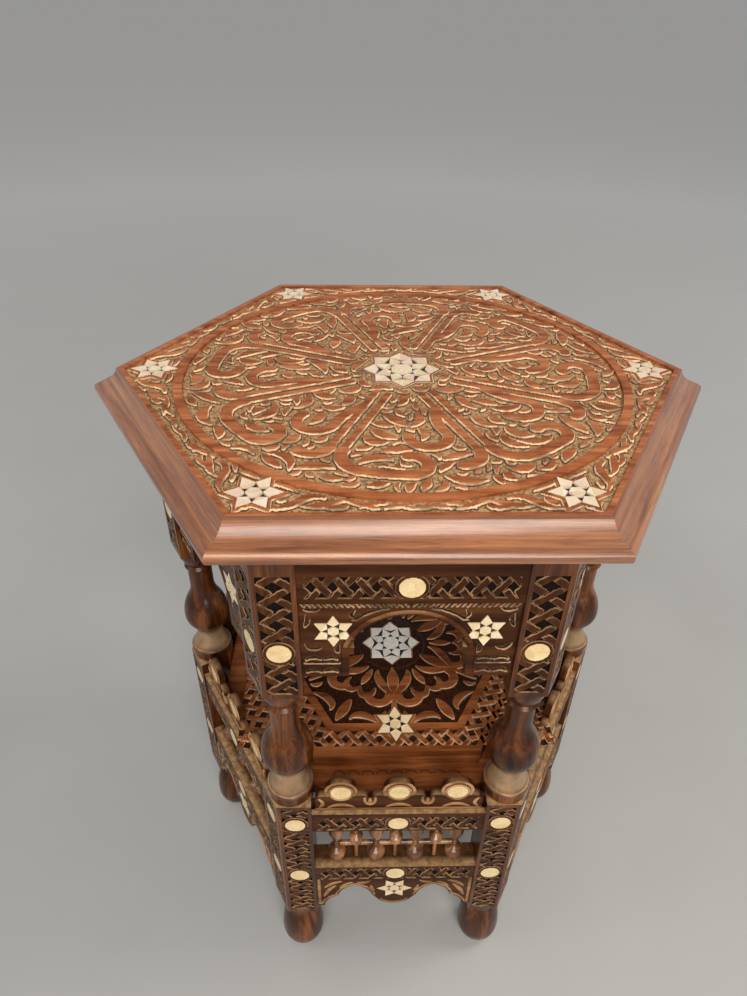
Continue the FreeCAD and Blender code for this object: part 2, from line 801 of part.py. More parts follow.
def carve_shelf(body, ground, band_middle, field_reach):
    """Crossed straps in the band, a boss round the middle star, and leaves in the field."""
    carving = []
    for hand, lean in ((1, "rising"), (-1, "falling")):
        straps = new_sketch(body, "XY_Plane", f"{lean}_straps", ground)
        lattice_straps(straps, hand, band_middle, s.shelf_lattice_width)
        carving.append(pad(body, straps, f"{lean}_lattice", s.relief_rise))
    leaves = new_sketch(body, "XY_Plane", "shelf_leaves", ground)
    (x, y), heading, bends, half_width = SHELF_HOOK
    for hand in (1, -1):
        mirrored_bends = [(radius, degrees * hand) for radius, degrees in bends]
        ribbon(leaves, field_reach, (-y * hand, x), 90 + heading * hand, mirrored_bends, half_width)
    for angle, start, end in SHELF_LEAVES:
        pointed_leaf(leaves, field_reach, 90 + angle, start, end)
    carving.append(pad(body, leaves, "shelf_leaf", s.relief_rise))
    polar_pattern(body, carving)
    boss = new_sketch(body, "XY_Plane", "shelf_boss", ground)
    circle(boss, ZERO, ZERO, s.shelf_centre_star_radius + s.boss_margin)
    pad(body, boss, "shelf_boss_disc", s.relief_rise)


def make_shelf():
    base = new_body("shelf_board")
    sketch = new_sketch(base, "XY_Plane", "shelf_outline", middle_rail_top - s.shelf_base_thickness)
    hexagon(sketch, rail_back + s.rabbet_width - s.joint_clearance)
    pad(base, sketch, "shelf_slab", s.shelf_base_thickness)
    leg_back = case_corner - s.stile_width / 2 - s.leg_depth * COS30
    trim = new_body("shelf_corner_trim")
    sketch = new_sketch(trim, "XY_Plane", "trim_outline", middle_rail_top - s.shelf_base_thickness)
    hexagon(sketch, leg_back - s.shelf_corner_gap, STEP_ANGLE / 2)
    pad(trim, sketch, "trim_slab", s.shelf_base_thickness)
    keep(boolean("Common", "shelf_base", base, trim), "shelf_base")

    top = middle_rail_top + s.shelf_panel_thickness
    panel = new_body("shelf_panel_blank")
    sketch = new_sketch(panel, "XY_Plane", "panel_outline", middle_rail_top)
    hexagon(sketch, shelf_apothem)
    pad(panel, sketch, "panel_slab", s.shelf_panel_thickness)
    lattice_outer = shelf_apothem - s.shelf_edge_width
    lattice_inner = lattice_outer - s.shelf_lattice_width
    lattice = new_sketch(panel, "XY_Plane", "lattice_ground", top)
    hexagon(lattice, lattice_outer)
    hexagon(lattice, lattice_inner)
    pocket(panel, lattice, "lattice_pocket", s.relief_depth)
    field_reach = lattice_inner - s.shelf_band_width
    field = new_sketch(panel, "XY_Plane", "field_ground", top)
    hexagon(field, field_reach)
    pocket(panel, field, "field_pocket", s.relief_depth)
    carve_shelf(panel, top - s.relief_depth, lattice_outer - s.shelf_lattice_width / 2, field_reach)
    seats = [
        star_prism("rim_star_seat", shelf_rim_star_frame(), star_edge(s.shelf_rim_star_radius, SIDES, 90),
                   s.relief_depth),
        star_prism("shelf_star_seat", level_frame(top),
                   star_edge(s.shelf_centre_star_radius, EIGHT_POINTS, 0), s.relief_depth),
    ]
    keep(boolean("Cut", "shelf_panel", panel, compound("shelf_star_seats", seats)), "shelf_panel")


# Top: a carved board with a raised ring, a mitred moulding on each edge, and glue blocks below

def carve_roundel(body, radius):
    """A pair of straps on each of eight rays, scrolls beside it, and a boss round the middle star."""
    ground = table_top - s.relief_depth
    straps = new_sketch(body, "XY_Plane", "roundel_straps", ground)
    scrolls = new_sketch(body, "XY_Plane", "roundel_scrolls", ground)
    for sketch in (straps, scrolls):
        sketch.AttachmentOffset = turned(180 / EIGHT_POINTS)
    inner, outer = (radius * share for share in ROUNDEL_STRAP_REACH)
    near, far = (radius * share for share in ROUNDEL_STRAP_SIDES)
    rectangle(straps, inner, near, outer, far)
    rectangle(straps, inner, -far, outer, -near)
    for start, heading, bends, half_width in ROUNDEL_SCROLLS:
        ribbon(scrolls, radius, start, heading, bends, half_width)
    carving = [
        pad(body, straps, "roundel_strap", s.relief_rise),
        pad(body, scrolls, "roundel_scroll", s.relief_rise),
    ]
    polar_pattern(body, carving, EIGHT_POINTS)
    boss = new_sketch(body, "XY_Plane", "roundel_boss", ground)
    circle(boss, ZERO, ZERO, s.centre_star_radius + s.boss_margin)
    pad(body, boss, "roundel_boss_disc", s.relief_rise)


def make_top():
    body = new_body("top_blank")
    sketch = new_sketch(body, "XY_Plane", "top_outline", case_top)
    hexagon(sketch, field_apothem)
    pad(body, sketch, "top_slab", s.top_thickness)
    roundel = new_sketch(body, "XY_Plane", "roundel_ground", table_top)
    circle(roundel, ZERO, ZERO, ring_outer - s.ring_width)
    pocket(body, roundel, "roundel_pocket", s.relief_depth)
    corners = new_sketch(body, "XY_Plane", "corner_ground", table_top)
    hexagon(corners, field_apothem - s.border_width)
    circle(corners, ZERO, ZERO, ring_outer)
    pocket(body, corners, "corner_pocket", s.relief_depth)
    carve_roundel(body, ring_outer - s.ring_width)
    seats = [
        star_prism(f"corner_star_seat_{side + 1}", corner_star_frame(side),
                   star_edge(s.corner_star_radius, SIDES, 0), s.relief_depth)
        for side in range(SIDES)
    ]
    seats.append(star_prism("centre_star_seat", level_frame(table_top),
                            star_edge(s.centre_star_radius, EIGHT_POINTS, 0), s.relief_depth))
    keep(boolean("Cut", "top_board", body, compound("top_star_seats", seats)), "top_board")


def make_edge_mouldings():
    """A bead along the lower edge and a hollow that rises from it to the carved field."""
    outer = field_apothem + s.moulding_width
    bead = outer - s.bead_radius
    fillet = field_apothem + s.fillet_width
    length = outer * (2 * TAN30)
    body = new_body("moulding_bar")
    sketch = new_sketch(body, "YZ_Plane", "moulding_profile")
    outline(sketch, [
        (-field_apothem, case_top),
        (-bead, case_top),
        (-outer, case_top + s.bead_radius, s.bead_radius, -1),
        (-bead, case_top + s.bead_radius * 2, s.bead_radius, -1),
        (-fillet, table_top - s.fillet_height, s.cove_radius, 1),
        (-fillet, table_top),
        (-field_apothem, table_top),
    ])
    pad(body, sketch, "moulding_length", length, both_ways=True)
    mitre = new_body("mitre_wedge")
    sketch = new_sketch(mitre, "XY_Plane", "mitre_outline", case_top)
    outline(sketch, [(ZERO, ZERO), (-outer * TAN30, -outer), (outer * TAN30, -outer)])
    pad(mitre, sketch, "mitre_slab", s.top_thickness)
    six_of("Common", "edge_moulding", body, mitre)


def make_top_cleats():
    body = new_body("top_cleats_body")
    half = s.cleat_length / 2
    sketch = new_sketch(body, "XZ_Plane", "cleat_outline", rail_back)
    rectangle(sketch, -half, case_top - s.cleat_height, half, case_top)
    block = pad(body, sketch, "cleat", s.cleat_width, inward=True)
    polar_pattern(body, [block])
    keep(body, "top_cleats")


# Spindle screens between the apron and the middle rail: turned spindles, and crosses between them

screen_apothem = s.case_apothem - s.spindle_depth


def half_chord(radius, half_width):
    """Height above a ball's middle at which it is that narrow."""
    return (radius * radius - half_width * half_width).root()


def ball_bands(radius, centre, angles):
    """Points of a turned ball's outline, in flat bands from below its middle to above it."""
    turns = [math.radians(angle) for angle in angles]
    return [(radius * math.cos(turn), centre + radius * math.sin(turn)) for turn in turns]


def upright_turning(body, name, axis, points):
    sketch = new_sketch(body, "XZ_Plane", name + "_profile", screen_apothem, axis)
    outline(sketch, points)
    feature = body.newObject("PartDesign::Revolution", name)
    feature.Profile = sketch
    feature.ReferenceAxis = (sketch, ["V_Axis"])
    feature.Angle = 360
    return feature


def spindle_neck_bottom():
    ball = s.spindle_ball_radius
    return apron_top + half_chord(ball, s.spindle_foot_radius) + half_chord(ball, s.spindle_neck_radius)


def make_screen_spindles():
    foot, ball, neck = s.spindle_foot_radius, s.spindle_ball_radius, s.spindle_neck_radius
    centre = apron_top + half_chord(ball, foot)
    neck_end = spindle_neck_bottom() + s.spindle_neck_height
    first = -s.spindle_spacing * ((SPINDLES_PER_SCREEN - 1) / 2)
    turnings = []
    for place in range(SPINDLES_PER_SCREEN):
        body = new_body(f"spindle_{place + 1}")
        spindle = upright_turning(body, f"turned_spindle_{place + 1}", first + s.spindle_spacing * place, [
            (ZERO, apron_top),
            (foot, apron_top),
            *ball_bands(ball, centre, BALL_ANGLES),
            (neck, spindle_neck_bottom()),
            (neck, neck_end),
            (s.spindle_cup_radius, neck_end + s.spindle_cup_height),
            (s.spindle_top_radius, middle_rail_bottom),
            (ZERO, middle_rail_bottom),
        ])
        polar_pattern(body, [spindle])
        turnings.append(body)
    keep(compound("screen_spindles", turnings), "screen_spindles")


def make_screen_crosses():
    """Between two spindles: a pin with a bead, crossed by a peg that reaches the spindles' necks."""
    pin, ball = s.cross_pin_radius, s.cross_bead_radius
    centre = apron_top + s.cross_bead_height
    waist = half_chord(ball, pin)
    peg_level = spindle_neck_bottom() + s.spindle_neck_height / 2
    peg_length = s.spindle_spacing - (s.spindle_neck_radius + s.joint_clearance) * 2
    crosses = SPINDLES_PER_SCREEN - 1
    first = -s.spindle_spacing * ((crosses - 1) / 2)
    turnings = []
    for place in range(crosses):
        axis = first + s.spindle_spacing * place
        body = new_body(f"cross_{place + 1}")
        upright = upright_turning(body, f"cross_pin_{place + 1}", axis, [
            (ZERO, apron_top),
            (pin, apron_top),
            (pin, centre - waist),
            *ball_bands(ball, centre, BEAD_ANGLES),
            (pin, centre + waist),
            (pin, middle_rail_bottom),
            (ZERO, middle_rail_bottom),
        ])
        sketch = new_sketch(body, "YZ_Plane", f"cross_peg_circle_{place + 1}", axis)
        circle(sketch, -screen_apothem, peg_level, s.cross_peg_radius)
        peg = pad(body, sketch, f"cross_peg_{place + 1}", peg_length, both_ways=True)
        polar_pattern(body, [upright, peg])
        turnings.append(body)
    keep(compound("screen_crosses", turnings), "screen_crosses")


# Bone discs, each on the floor of a carved band or of its own seat, level with the surface round it

def make_discs(name, front, depth, places):
    body = new_body(name + "_body")
    sketch = new_sketch(body, "XZ_Plane", name + "_circles", front - depth)
    for x, level in places:
        circle(sketch, x, level, s.disc_radius)
    disc = pad(body, sketch, name + "_disc", depth)
    polar_pattern(body, [disc])
    keep(body, name)


def make_all_discs():
    levels = [
        upper_block_bottom + s.upper_disc_height,
        lower_block_top - s.middle_disc_drop,
        s.foot_height + s.lower_disc_height,
    ]
    stiles = [(stile_middle * hand, level) for hand in (-1, 1) for level in levels]
    make_discs("leg_discs", s.case_apothem, s.band_depth, stiles)
    rails = [(ZERO, level) for level in (upper_band_level, middle_band_level, apron_band_level)]
    make_discs("rail_discs", rail_front, s.band_depth, rails)
    make_discs("gallery_discs", gallery_front, s.gallery_disc_depth, gallery_disc_places())


# Stars: kites round a middle piece, on a dark bed that shows between them

def face_frame(front, x, level):
    """Placement of a star on the front face: its own X lies along the face, and its Z points out."""
    upright = FreeCAD.Rotation(FreeCAD.Vector(1, 0, 0), 90)
    return FreeCAD.Placement(FreeCAD.Vector(x.value, -front.value, level.value), upright)


def arch_star_place(hand):
    return (half_span - s.arch_star_inset) * hand, upper_rail_bottom - s.arch_star_drop


def apron_star_level():
    return apron_top - s.apron_star_drop


def corner_star_frame(side):
    reach = field_apothem / COS30 - s.corner_star_inset
    spot = FreeCAD.Placement(FreeCAD.Vector(reach.value, 0, table_top.value), FreeCAD.Rotation())
    return turned(STEP_ANGLE * side).multiply(spot)


def shelf_rim_star_frame():
    level = middle_rail_top + s.shelf_panel_thickness
    reach = shelf_apothem - s.shelf_rim_star_inset
    return FreeCAD.Placement(FreeCAD.Vector(0, -reach.value, level.value), FreeCAD.Rotation())


def level_frame(level):
    return FreeCAD.Placement(FreeCAD.Vector(0, 0, level.value), FreeCAD.Rotation())


def polar(radius, angle):
    return FreeCAD.Vector(radius * math.cos(math.radians(angle)), radius * math.sin(math.radians(angle)), 0)


def notch_radius(radius, points):
    """Radius of the inner corners of a star whose long lines join every second point."""
    step = math.radians(180 / points)
    return radius * math.cos(2 * step) / math.cos(step)


def star_edge(tip_length, points, first_angle):
    """Corners of the star's seat, a little outside the inlay."""
    tip = tip_length.value + s.bed_margin.value
    notch = notch_radius(tip_length.value, points) + s.bed_margin.value
    step = 180 / points
    return [polar(notch if turn % 2 else tip, first_angle + turn * step) for turn in range(2 * points)]


def slab(corners, bottom, top):
    floor = [FreeCAD.Vector(corner.x, corner.y, bottom) for corner in corners]
    loop = Part.makePolygon(floor + floor[:1])
    return Part.Face(loop).extrude(FreeCAD.Vector(0, 0, top - bottom))


def star_prism(name, place, corners, depth):
    """The cut that seats a star below the surface at that place."""
    feature = doc.addObject("Part::Feature", name)
    feature.Shape = slab(corners, -depth.value, OVERRUN)
    feature.Placement = place
    return feature


def kite_ring(points, first_angle, tip, side, heel, gap):
    """Corners of the kites whose long points turn outwards, each drawn in by half the gap."""
    step = 180 / points
    squeeze = math.degrees(gap / 2 / side)
    rings = []
    for turn in range(points):
        middle = first_angle + turn * 2 * step
        rings.append([
            polar(tip, middle),
            polar(side, middle + step - squeeze),
            polar(heel + gap / 2, middle),
            polar(side, middle - step + squeeze),
        ])
    return rings


def star_pieces(tip_length, points, first_angle):
    """Corner lists of all pieces of a star: six-point stars have one ring of kites, others two."""
    tip = tip_length.value
    gap = s.mastic_gap.value
    step = 180 / points
    notch = notch_radius(tip, points)
    heart = tip * HEART_SHARE
    if points == SIDES:
        pieces = kite_ring(points, first_angle, tip, notch, heart, gap)
    else:
        pieces = kite_ring(points, first_angle, tip, notch, tip * OUTER_HEEL_SHARE, gap)
        first_angle += step
        pieces += kite_ring(points, first_angle, tip * INNER_TIP_SHARE, tip * INNER_SIDE_SHARE, heart, gap)
    pieces.append([polar(heart - gap / 2, first_angle + turn * 2 * step) for turn in range(points)])
    return pieces


beds = []


def make_stars(name, stars):
    """One node of inlay pieces. A star is its placement, tip length, points, angle and depth."""
    solids = []
    for place, tip_length, points, first_angle, depth in stars:
        floor = -depth.value
        bed_top = floor + s.bed_thickness.value
        bed = slab(star_edge(tip_length, points, first_angle), floor, bed_top)
        beds.append(placed(bed, place))
        for corners in star_pieces(tip_length, points, first_angle):
            solids.append(placed(slab(corners, bed_top, 0), place))
    feature = doc.addObject("Part::Feature", name)
    feature.Shape = Part.makeCompound(solids)
    keep(feature, name)


def placed(shape, place):
    shape.Placement = place
    return shape


def make_all_stars():
    shelf_top = middle_rail_top + s.shelf_panel_thickness
    make_stars("top_centre_star", [
        (level_frame(table_top), s.centre_star_radius, EIGHT_POINTS, 0, s.relief_depth),
    ])
    make_stars("top_corner_stars", [
        (corner_star_frame(side), s.corner_star_radius, SIDES, 0, s.relief_depth) for side in range(SIDES)
    ])
    make_stars("shelf_stars", [
        (level_frame(shelf_top), s.shelf_centre_star_radius, EIGHT_POINTS, 0, s.relief_depth),
        (shelf_rim_star_frame(), s.shelf_rim_star_radius, SIDES, 90, s.relief_depth),
    ])
    make_stars("arch_stars", [
        (turned(STEP_ANGLE * side).multiply(face_frame(panel_front, *arch_star_place(hand))),
         s.arch_star_radius, SIDES, 90, s.band_depth)
        for side in range(SIDES) for hand in (-1, 1)
    ])
    make_stars("apron_stars", [
        (turned(STEP_ANGLE * side).multiply(face_frame(rail_front, ZERO, apron_star_level())),
         s.apron_star_radius, SIDES, 0, s.band_depth)
        for side in range(SIDES)
    ])
    feature = doc.addObject("Part::Feature", "star_beds")
    feature.Shape = Part.makeCompound(beds)
    keep(feature, "star_beds")


def check_and_write():
    doc.recompute()
    failed = [item.Label for item in doc.Objects if {"Invalid", "Error"} & set(item.State)]
    failed += [node.Label for node in nodes if node.Shape.isNull() or not node.Shape.isValid()]
    if failed:
        raise RuntimeError("not built: " + ", ".join(failed))
    os.makedirs("parts", exist_ok=True)
    for node in nodes:
        node.Shape.exportStep(f"parts/{node.Label}.step")


make_legs()
make_upper_rails()
make_arch_panels()
make_middle_rails()
make_galleries()
make_apron_rails()
make_screen_spindles()
make_screen_crosses()
make_shelf()
make_top()
make_edge_mouldings()
make_top_cleats()
make_all_discs()
make_all_stars()
check_and_write()
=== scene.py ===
import math

import bpy
import numpy as np
from mathutils import Matrix, Vector


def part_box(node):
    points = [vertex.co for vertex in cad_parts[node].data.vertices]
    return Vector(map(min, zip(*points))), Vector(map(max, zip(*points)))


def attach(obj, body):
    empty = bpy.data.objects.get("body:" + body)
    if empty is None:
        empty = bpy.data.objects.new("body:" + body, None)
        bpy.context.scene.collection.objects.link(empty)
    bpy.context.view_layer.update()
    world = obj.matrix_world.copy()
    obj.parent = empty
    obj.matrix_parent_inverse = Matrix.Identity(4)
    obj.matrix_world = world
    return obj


# Looks of a hexagonal inlaid and carved side table: woods, bone and pearl on the solids, and the
# carving as relief on the grounds that the solids leave for it. Sizes are in millimetres and are
# turned into metres where a mesh is made.

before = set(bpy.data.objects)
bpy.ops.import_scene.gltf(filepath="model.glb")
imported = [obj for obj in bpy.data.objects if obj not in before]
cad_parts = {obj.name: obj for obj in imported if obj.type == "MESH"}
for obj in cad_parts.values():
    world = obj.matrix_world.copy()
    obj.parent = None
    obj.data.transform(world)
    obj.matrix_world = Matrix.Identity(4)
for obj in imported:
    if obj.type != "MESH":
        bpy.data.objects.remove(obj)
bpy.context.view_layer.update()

MM = 0.001
SIDES = 6
STEP_ANGLE = 360 / SIDES
TAN30 = math.tan(math.radians(30))
COS30 = math.cos(math.radians(30))


def lowest(name):
    return np.array(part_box(name)[0]) / MM


def highest(name):
    return np.array(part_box(name)[1]) / MM


def polar(radius, degrees):
    turn = math.radians(degrees)
    return np.array([radius * math.cos(turn), radius * math.sin(turn)])


# Places read from the frame
table_top = highest("top_board")[2]
field_apothem = highest("top_board")[1]
case_apothem = highest("leg_1")[0] * COS30
rail_front = -lowest("upper_rail_1")[1]
upper_rail_bottom = lowest("upper_rail_1")[2]
middle_rail_bottom = lowest("middle_rail_1")[2]
middle_rail_top = highest("middle_rail_1")[2]
apron_top = highest("apron_rail_1")[2]
apron_bottom = lowest("apron_rail_1")[2]
panel_front = -lowest("arch_panel_1")[1]
panel_bottom = lowest("arch_panel_1")[2]
gallery_front = -lowest("gallery_1")[1]
shelf_top = highest("shelf_panel")[2]
shelf_apothem = highest("shelf_panel")[1]
base_board_top = highest("shelf_base")[2]

# Levels of the legs' blocks
FOOT_HEIGHT = 74.0
LOWER_BLOCK_TOP = 238.0
UPPER_BLOCK_BOTTOM = 364.0

# Carved grounds of the solids
RELIEF_DEPTH = 2.0
BAND_DEPTH = 1.5
RING_MARGIN = 14.0
RING_WIDTH = 6.0
BORDER_WIDTH = 3.0
STILE_WIDTH = 26.0
STILE_BAND_WIDTH = 20.0
RAIL_BAND_HEIGHT = 17.0
BAND_END_MARGIN = 4.0
DISC_RADIUS = 7.75

half_face = case_apothem * TAN30
half_span = half_face - STILE_WIDTH
stile_middle = half_face - STILE_WIDTH / 2
roundel_radius = field_apothem - RING_MARGIN - RING_WIDTH


# Materials

def new_material(name):
    material = bpy.data.materials.new(name)
    material.use_nodes = True
    return material, material.node_tree


def node(tree, kind, **values):
    """A shader node, with values set on its properties or on its inputs by name."""
    item = tree.nodes.new("ShaderNode" + kind)
    for key, value in values.items():
        if hasattr(item, key):
            setattr(item, key, value)
        else:
            item.inputs[key.replace("_", " ")].default_value = value
    return item


def feed(tree, socket, value):
    """Gives a socket a number or a colour, or links it to another node's output."""
    if isinstance(value, (int, float)):
        socket.default_value = value
    elif isinstance(value, tuple):
        socket.default_value = (*value, 1)
    else:
        tree.links.new(value, socket)


def maths(tree, operation, *values):
    item = node(tree, "Math", operation=operation)
    for socket, value in zip(item.inputs, values):
        feed(tree, socket, value)
    return item.outputs["Value"]


def mix(tree, share, first, second, blend="MIX"):
    item = node(tree, "Mix", data_type="RGBA", blend_type=blend)
    for name, value in (("Factor", share), ("A", first), ("B", second)):
        feed(tree, [socket for socket in item.inputs if socket.name == name and socket.enabled][0], value)
    return [socket for socket in item.outputs if socket.enabled][0]


def ramp(tree, source, stops):
    item = node(tree, "ValToRGB")
    elements = item.color_ramp.elements
    while len(elements) < len(stops):
        elements.new(0.5)
    for element, (place, colour) in zip(elements, stops):
        element.position = place
        element.color = (*colour, 1)
    tree.links.new(source, item.inputs["Fac"])
    return item.outputs["Color"]


def mask(tree, source, stops):
    """None below the first stop, all above the second."""
    return ramp(tree, source, [(stops[0], (0, 0, 0)), (stops[1], (1, 1, 1))])


def rescale(tree, source, **limits):
    """Carries a value from one range, at first 0 to 1, into another."""
    item = node(tree, "MapRange", **limits)
    tree.links.new(source, item.inputs["Value"])
    return item.outputs["Result"]


def axis_part(tree, vector, axis):
    item = node(tree, "SeparateXYZ")
    tree.links.new(vector, item.inputs["Vector"])
    return item.outputs[axis]


def object_place(tree):
    return node(tree, "TexCoord").outputs["Object"]


def grain_place(tree, angle, upright, along, across):
    """Object coordinates drawn out along the grain: frequencies per metre along and across it."""
    mapping = node(tree, "Mapping", vector_type="TEXTURE")
    stretch = (1 / across, 1 / across, 1 / along) if upright else (1 / along, 1 / across, 1 / across)
    mapping.inputs["Rotation"].default_value = (0, 0, math.radians(angle))
    mapping.inputs["Scale"].default_value = stretch
    tree.links.new(object_place(tree), mapping.inputs["Vector"])
    return mapping.outputs["Vector"]


def noise(tree, vector, scale=1.0, detail=5.0, distortion=0.0):
    item = node(tree, "TexNoise", Scale=scale, Detail=detail, Roughness=0.6, Distortion=distortion)
    tree.links.new(vector, item.inputs["Vector"])
    return item.outputs["Fac"]


def dimmed(colour, share):
    return tuple(part * share for part in colour)


def finish(tree, colour, roughness, **values):
    """Gives the material's shader a colour and a roughness, and sets other inputs by name."""
    shader = tree.nodes["Principled BSDF"]
    feed(tree, shader.inputs["Base Color"], colour)
    feed(tree, shader.inputs["Roughness"], roughness)
    for key, value in values.items():
        shader.inputs[key.replace("_", " ")].default_value = value
    return shader


# Dust, and painted light on lit top faces, lie on wood that faces upwards: none where the normal's upright
# part is the first tilt, most of it from the second on. Behind the rails' front it thins out between two
# depths, to a small share.
DUST_AND_LIGHT = (0.54, 0.32, 0.15)
DUST_AND_LIGHT_TILTS = (0.7, 0.95)
DUST_AND_LIGHT_COVER = 0.9
DUST_AND_LIGHT_DEPTHS = (9.0, 3.0)
DUST_AND_LIGHT_BEHIND = 0.12
# The flared collar under each leg's bulb is painted pale between these levels: rubbed wood and a painted
# sheen
RUBBED_SHEEN = (0.45, 0.30, 0.17)
RUBBED_SHEEN_LEVELS = (LOWER_BLOCK_TOP + 9.5, LOWER_BLOCK_TOP + 33.0)
RUBBED_SHEEN_FADE = 6.0
RUBBED_SHEEN_COVER = 0.7


def face_reach(tree, place):
    """Distance from the middle of the table, measured square to the nearest of its six faces."""
    reaches = []
    for degrees in (30, 90, 150):
        axis = node(tree, "VectorMath", operation="DOT_PRODUCT")
        axis.inputs[1].default_value = (*polar(1, degrees), 0)
        tree.links.new(place, axis.inputs[0])
        reaches.append(maths(tree, "ABSOLUTE", axis.outputs["Value"]))
    first, second, third = reaches
    return maths(tree, "MAXIMUM", maths(tree, "MAXIMUM", first, second), third)


def add_dust_and_light(tree, colour, place):
    """Pale dust, and painted light on lit top faces, where a surface faces upwards near the front of its
    face.
    """
    normal = node(tree, "NewGeometry").outputs["Normal"]
    steep, level = DUST_AND_LIGHT_TILTS
    upward = rescale(tree, axis_part(tree, normal, "Z"), From_Min=steep, From_Max=level, To_Max=DUST_AND_LIGHT_COVER)
    behind, before = [(rail_front - depth) * MM for depth in DUST_AND_LIGHT_DEPTHS]
    outward = rescale(tree, face_reach(tree, place), From_Min=behind, From_Max=before, To_Min=DUST_AND_LIGHT_BEHIND)
    patches = noise(tree, place, scale=190.0, detail=4.0)
    pale_dust_and_light = ramp(tree, patches, [(0.32, dimmed(DUST_AND_LIGHT, 0.4)), (0.62, DUST_AND_LIGHT)])
    return mix(tree, maths(tree, "MULTIPLY", upward, outward), colour, pale_dust_and_light)


def add_rubbing_and_sheen(tree, colour, place):
    """Pale rubbed wood and a painted sheen on the legs' flared collars, broken into patches."""
    low, high = RUBBED_SHEEN_LEVELS
    half = (high - low) / 2
    offset = maths(tree, "SUBTRACT", axis_part(tree, place, "Z"), (low + high) / 2 * MM)
    share = rescale(tree, maths(tree, "ABSOLUTE", offset), From_Min=half * MM,
                    From_Max=(half - RUBBED_SHEEN_FADE) * MM, To_Max=RUBBED_SHEEN_COVER)
    patches = noise(tree, place, scale=80.0)
    return mix(tree, share, colour, ramp(tree, patches, [(0.34, dimmed(RUBBED_SHEEN, 0.6)), (0.6, RUBBED_SHEEN)]))


# Where on the edge tone the painted shade at a wall's foot, the wall with its painted highlight and the
# raised wood begin, and where they are full
FOOT_SHADE_STOPS = (0.29, 0.36)
WALL_HIGHLIGHT_STOPS = (0.44, 0.48)
RAISED_STOPS = (0.55, 0.63)


def shade_relief(tree, place, colour, polish, carved, ground_gloss):
    """Colour and roughness of a relief: stippled ground, painted shade at each wall's foot, walls pale with
    painted highlight and wear, and raised wood as it was.
    """
    ground, wall = carved
    edge = node(tree, "Attribute", attribute_name="carve").outputs["Fac"]
    stipple = noise(tree, place, scale=480.0, detail=3.0)
    lower = ramp(tree, stipple, [(0.36, dimmed(ground, 0.3)), (0.62, ground)])
    lower = mix(tree, mask(tree, edge, FOOT_SHADE_STOPS), lower, dimmed(ground, 0.16))
    patches = noise(tree, place, scale=75.0, detail=2.0)
    worn_wall_highlight = ramp(tree, patches, [(0.38, dimmed(wall, 0.35)), (0.58, wall)])
    lower = mix(tree, mask(tree, edge, WALL_HIGHLIGHT_STOPS), lower, worn_wall_highlight)
    raised = mask(tree, edge, RAISED_STOPS)
    return mix(tree, raised, lower, colour), mix(tree, raised, (ground_gloss,) * 3, polish)


# Where on the figure's noise the three tones of a wood lie, and how often per metre figure and pores change
FIGURE_STOPS = (0.3, 0.5, 0.7)
FIGURE_ALONG = 7
PORE_RATES = (60, 1100)
PORE_TONES = [(0.34, (0.5, 0.44, 0.4)), (0.5, (1, 1, 1))]
PORE_SHARE = 0.6
WEAR_TONES = [(0.34, (0.5, 0.42, 0.38)), (0.56, (1, 1, 1))]


def wood(name, tones, angle=0, upright=False, gloss=(0.28, 0.46), coat=0.06, coat_gloss=0.22, specular=0.08,
         wear_share=0.5, wear_scale=16, streaks=95, carved=None, ground_gloss=0.7, dusty_and_lit=False,
         rubbed_sheen_collar=False):
    """Polished wood of three tones. With colours for a carved ground and its walls it shades a relief too."""
    material, tree = new_material(name)
    figure = noise(tree, grain_place(tree, angle, upright, FIGURE_ALONG, streaks), distortion=0.6)
    colour = ramp(tree, figure, list(zip(FIGURE_STOPS, tones)))
    pores = noise(tree, grain_place(tree, angle, upright, *PORE_RATES), detail=3.0)
    colour = mix(tree, PORE_SHARE, colour, ramp(tree, pores, PORE_TONES), "MULTIPLY")
    place = object_place(tree)
    wear = noise(tree, place, scale=wear_scale, detail=4.0)
    colour = mix(tree, wear_share, colour, ramp(tree, wear, WEAR_TONES), "MULTIPLY")
    # Dust, with painted light on faces that look upwards
    if dusty_and_lit:
        colour = add_dust_and_light(tree, colour, place)
    # A pale collar band: rubbed wood and a painted sheen
    if rubbed_sheen_collar:
        colour = add_rubbing_and_sheen(tree, colour, place)
    polish = rescale(tree, wear, To_Min=gloss[1], To_Max=gloss[0])
    if carved:
        colour, polish = shade_relief(tree, place, colour, polish, carved, ground_gloss)
    shader = finish(tree, colour, polish, Coat_Weight=coat, Coat_Roughness=coat_gloss,
                    Specular_IOR_Level=specular)
    bump = node(tree, "Bump", Strength=0.25, Distance=0.0004)
    tree.links.new(pores, bump.inputs["Height"])
    tree.links.new(bump.outputs["Normal"], shader.inputs["Normal"])
    return material


FRONT_STAR_REACH = 60.0
SHELL_VEIL = [(0.3, (0.86, 0.82, 0.80)), (0.5, (1, 1, 1)), (0.7, (0.96, 0.98, 0.94))]


def pearl(name, stops, front_stops=None):
    """Shell inlay whose tone differs from piece to piece. Front stops are for pieces near the front."""
    material, tree = new_material(name)
    island = node(tree, "NewGeometry").outputs["Random Per Island"]
    tone = ramp(tree, island, stops)
    place = object_place(tree)
    if front_stops:
        front = maths(tree, "LESS_THAN", axis_part(tree, place, "Y"), -FRONT_STAR_REACH * MM)
        tone = mix(tree, front, tone, ramp(tree, island, front_stops))
    clouds = noise(tree, place, scale=220.0, detail=3.0, distortion=1.5)
    tone = mix(tree, 0.8, tone, ramp(tree, clouds, SHELL_VEIL), "MULTIPLY")
    finish(tree, tone, rescale(tree, clouds, To_Min=0.18, To_Max=0.36), Coat_Weight=0.4, Coat_Roughness=0.15)
    return material


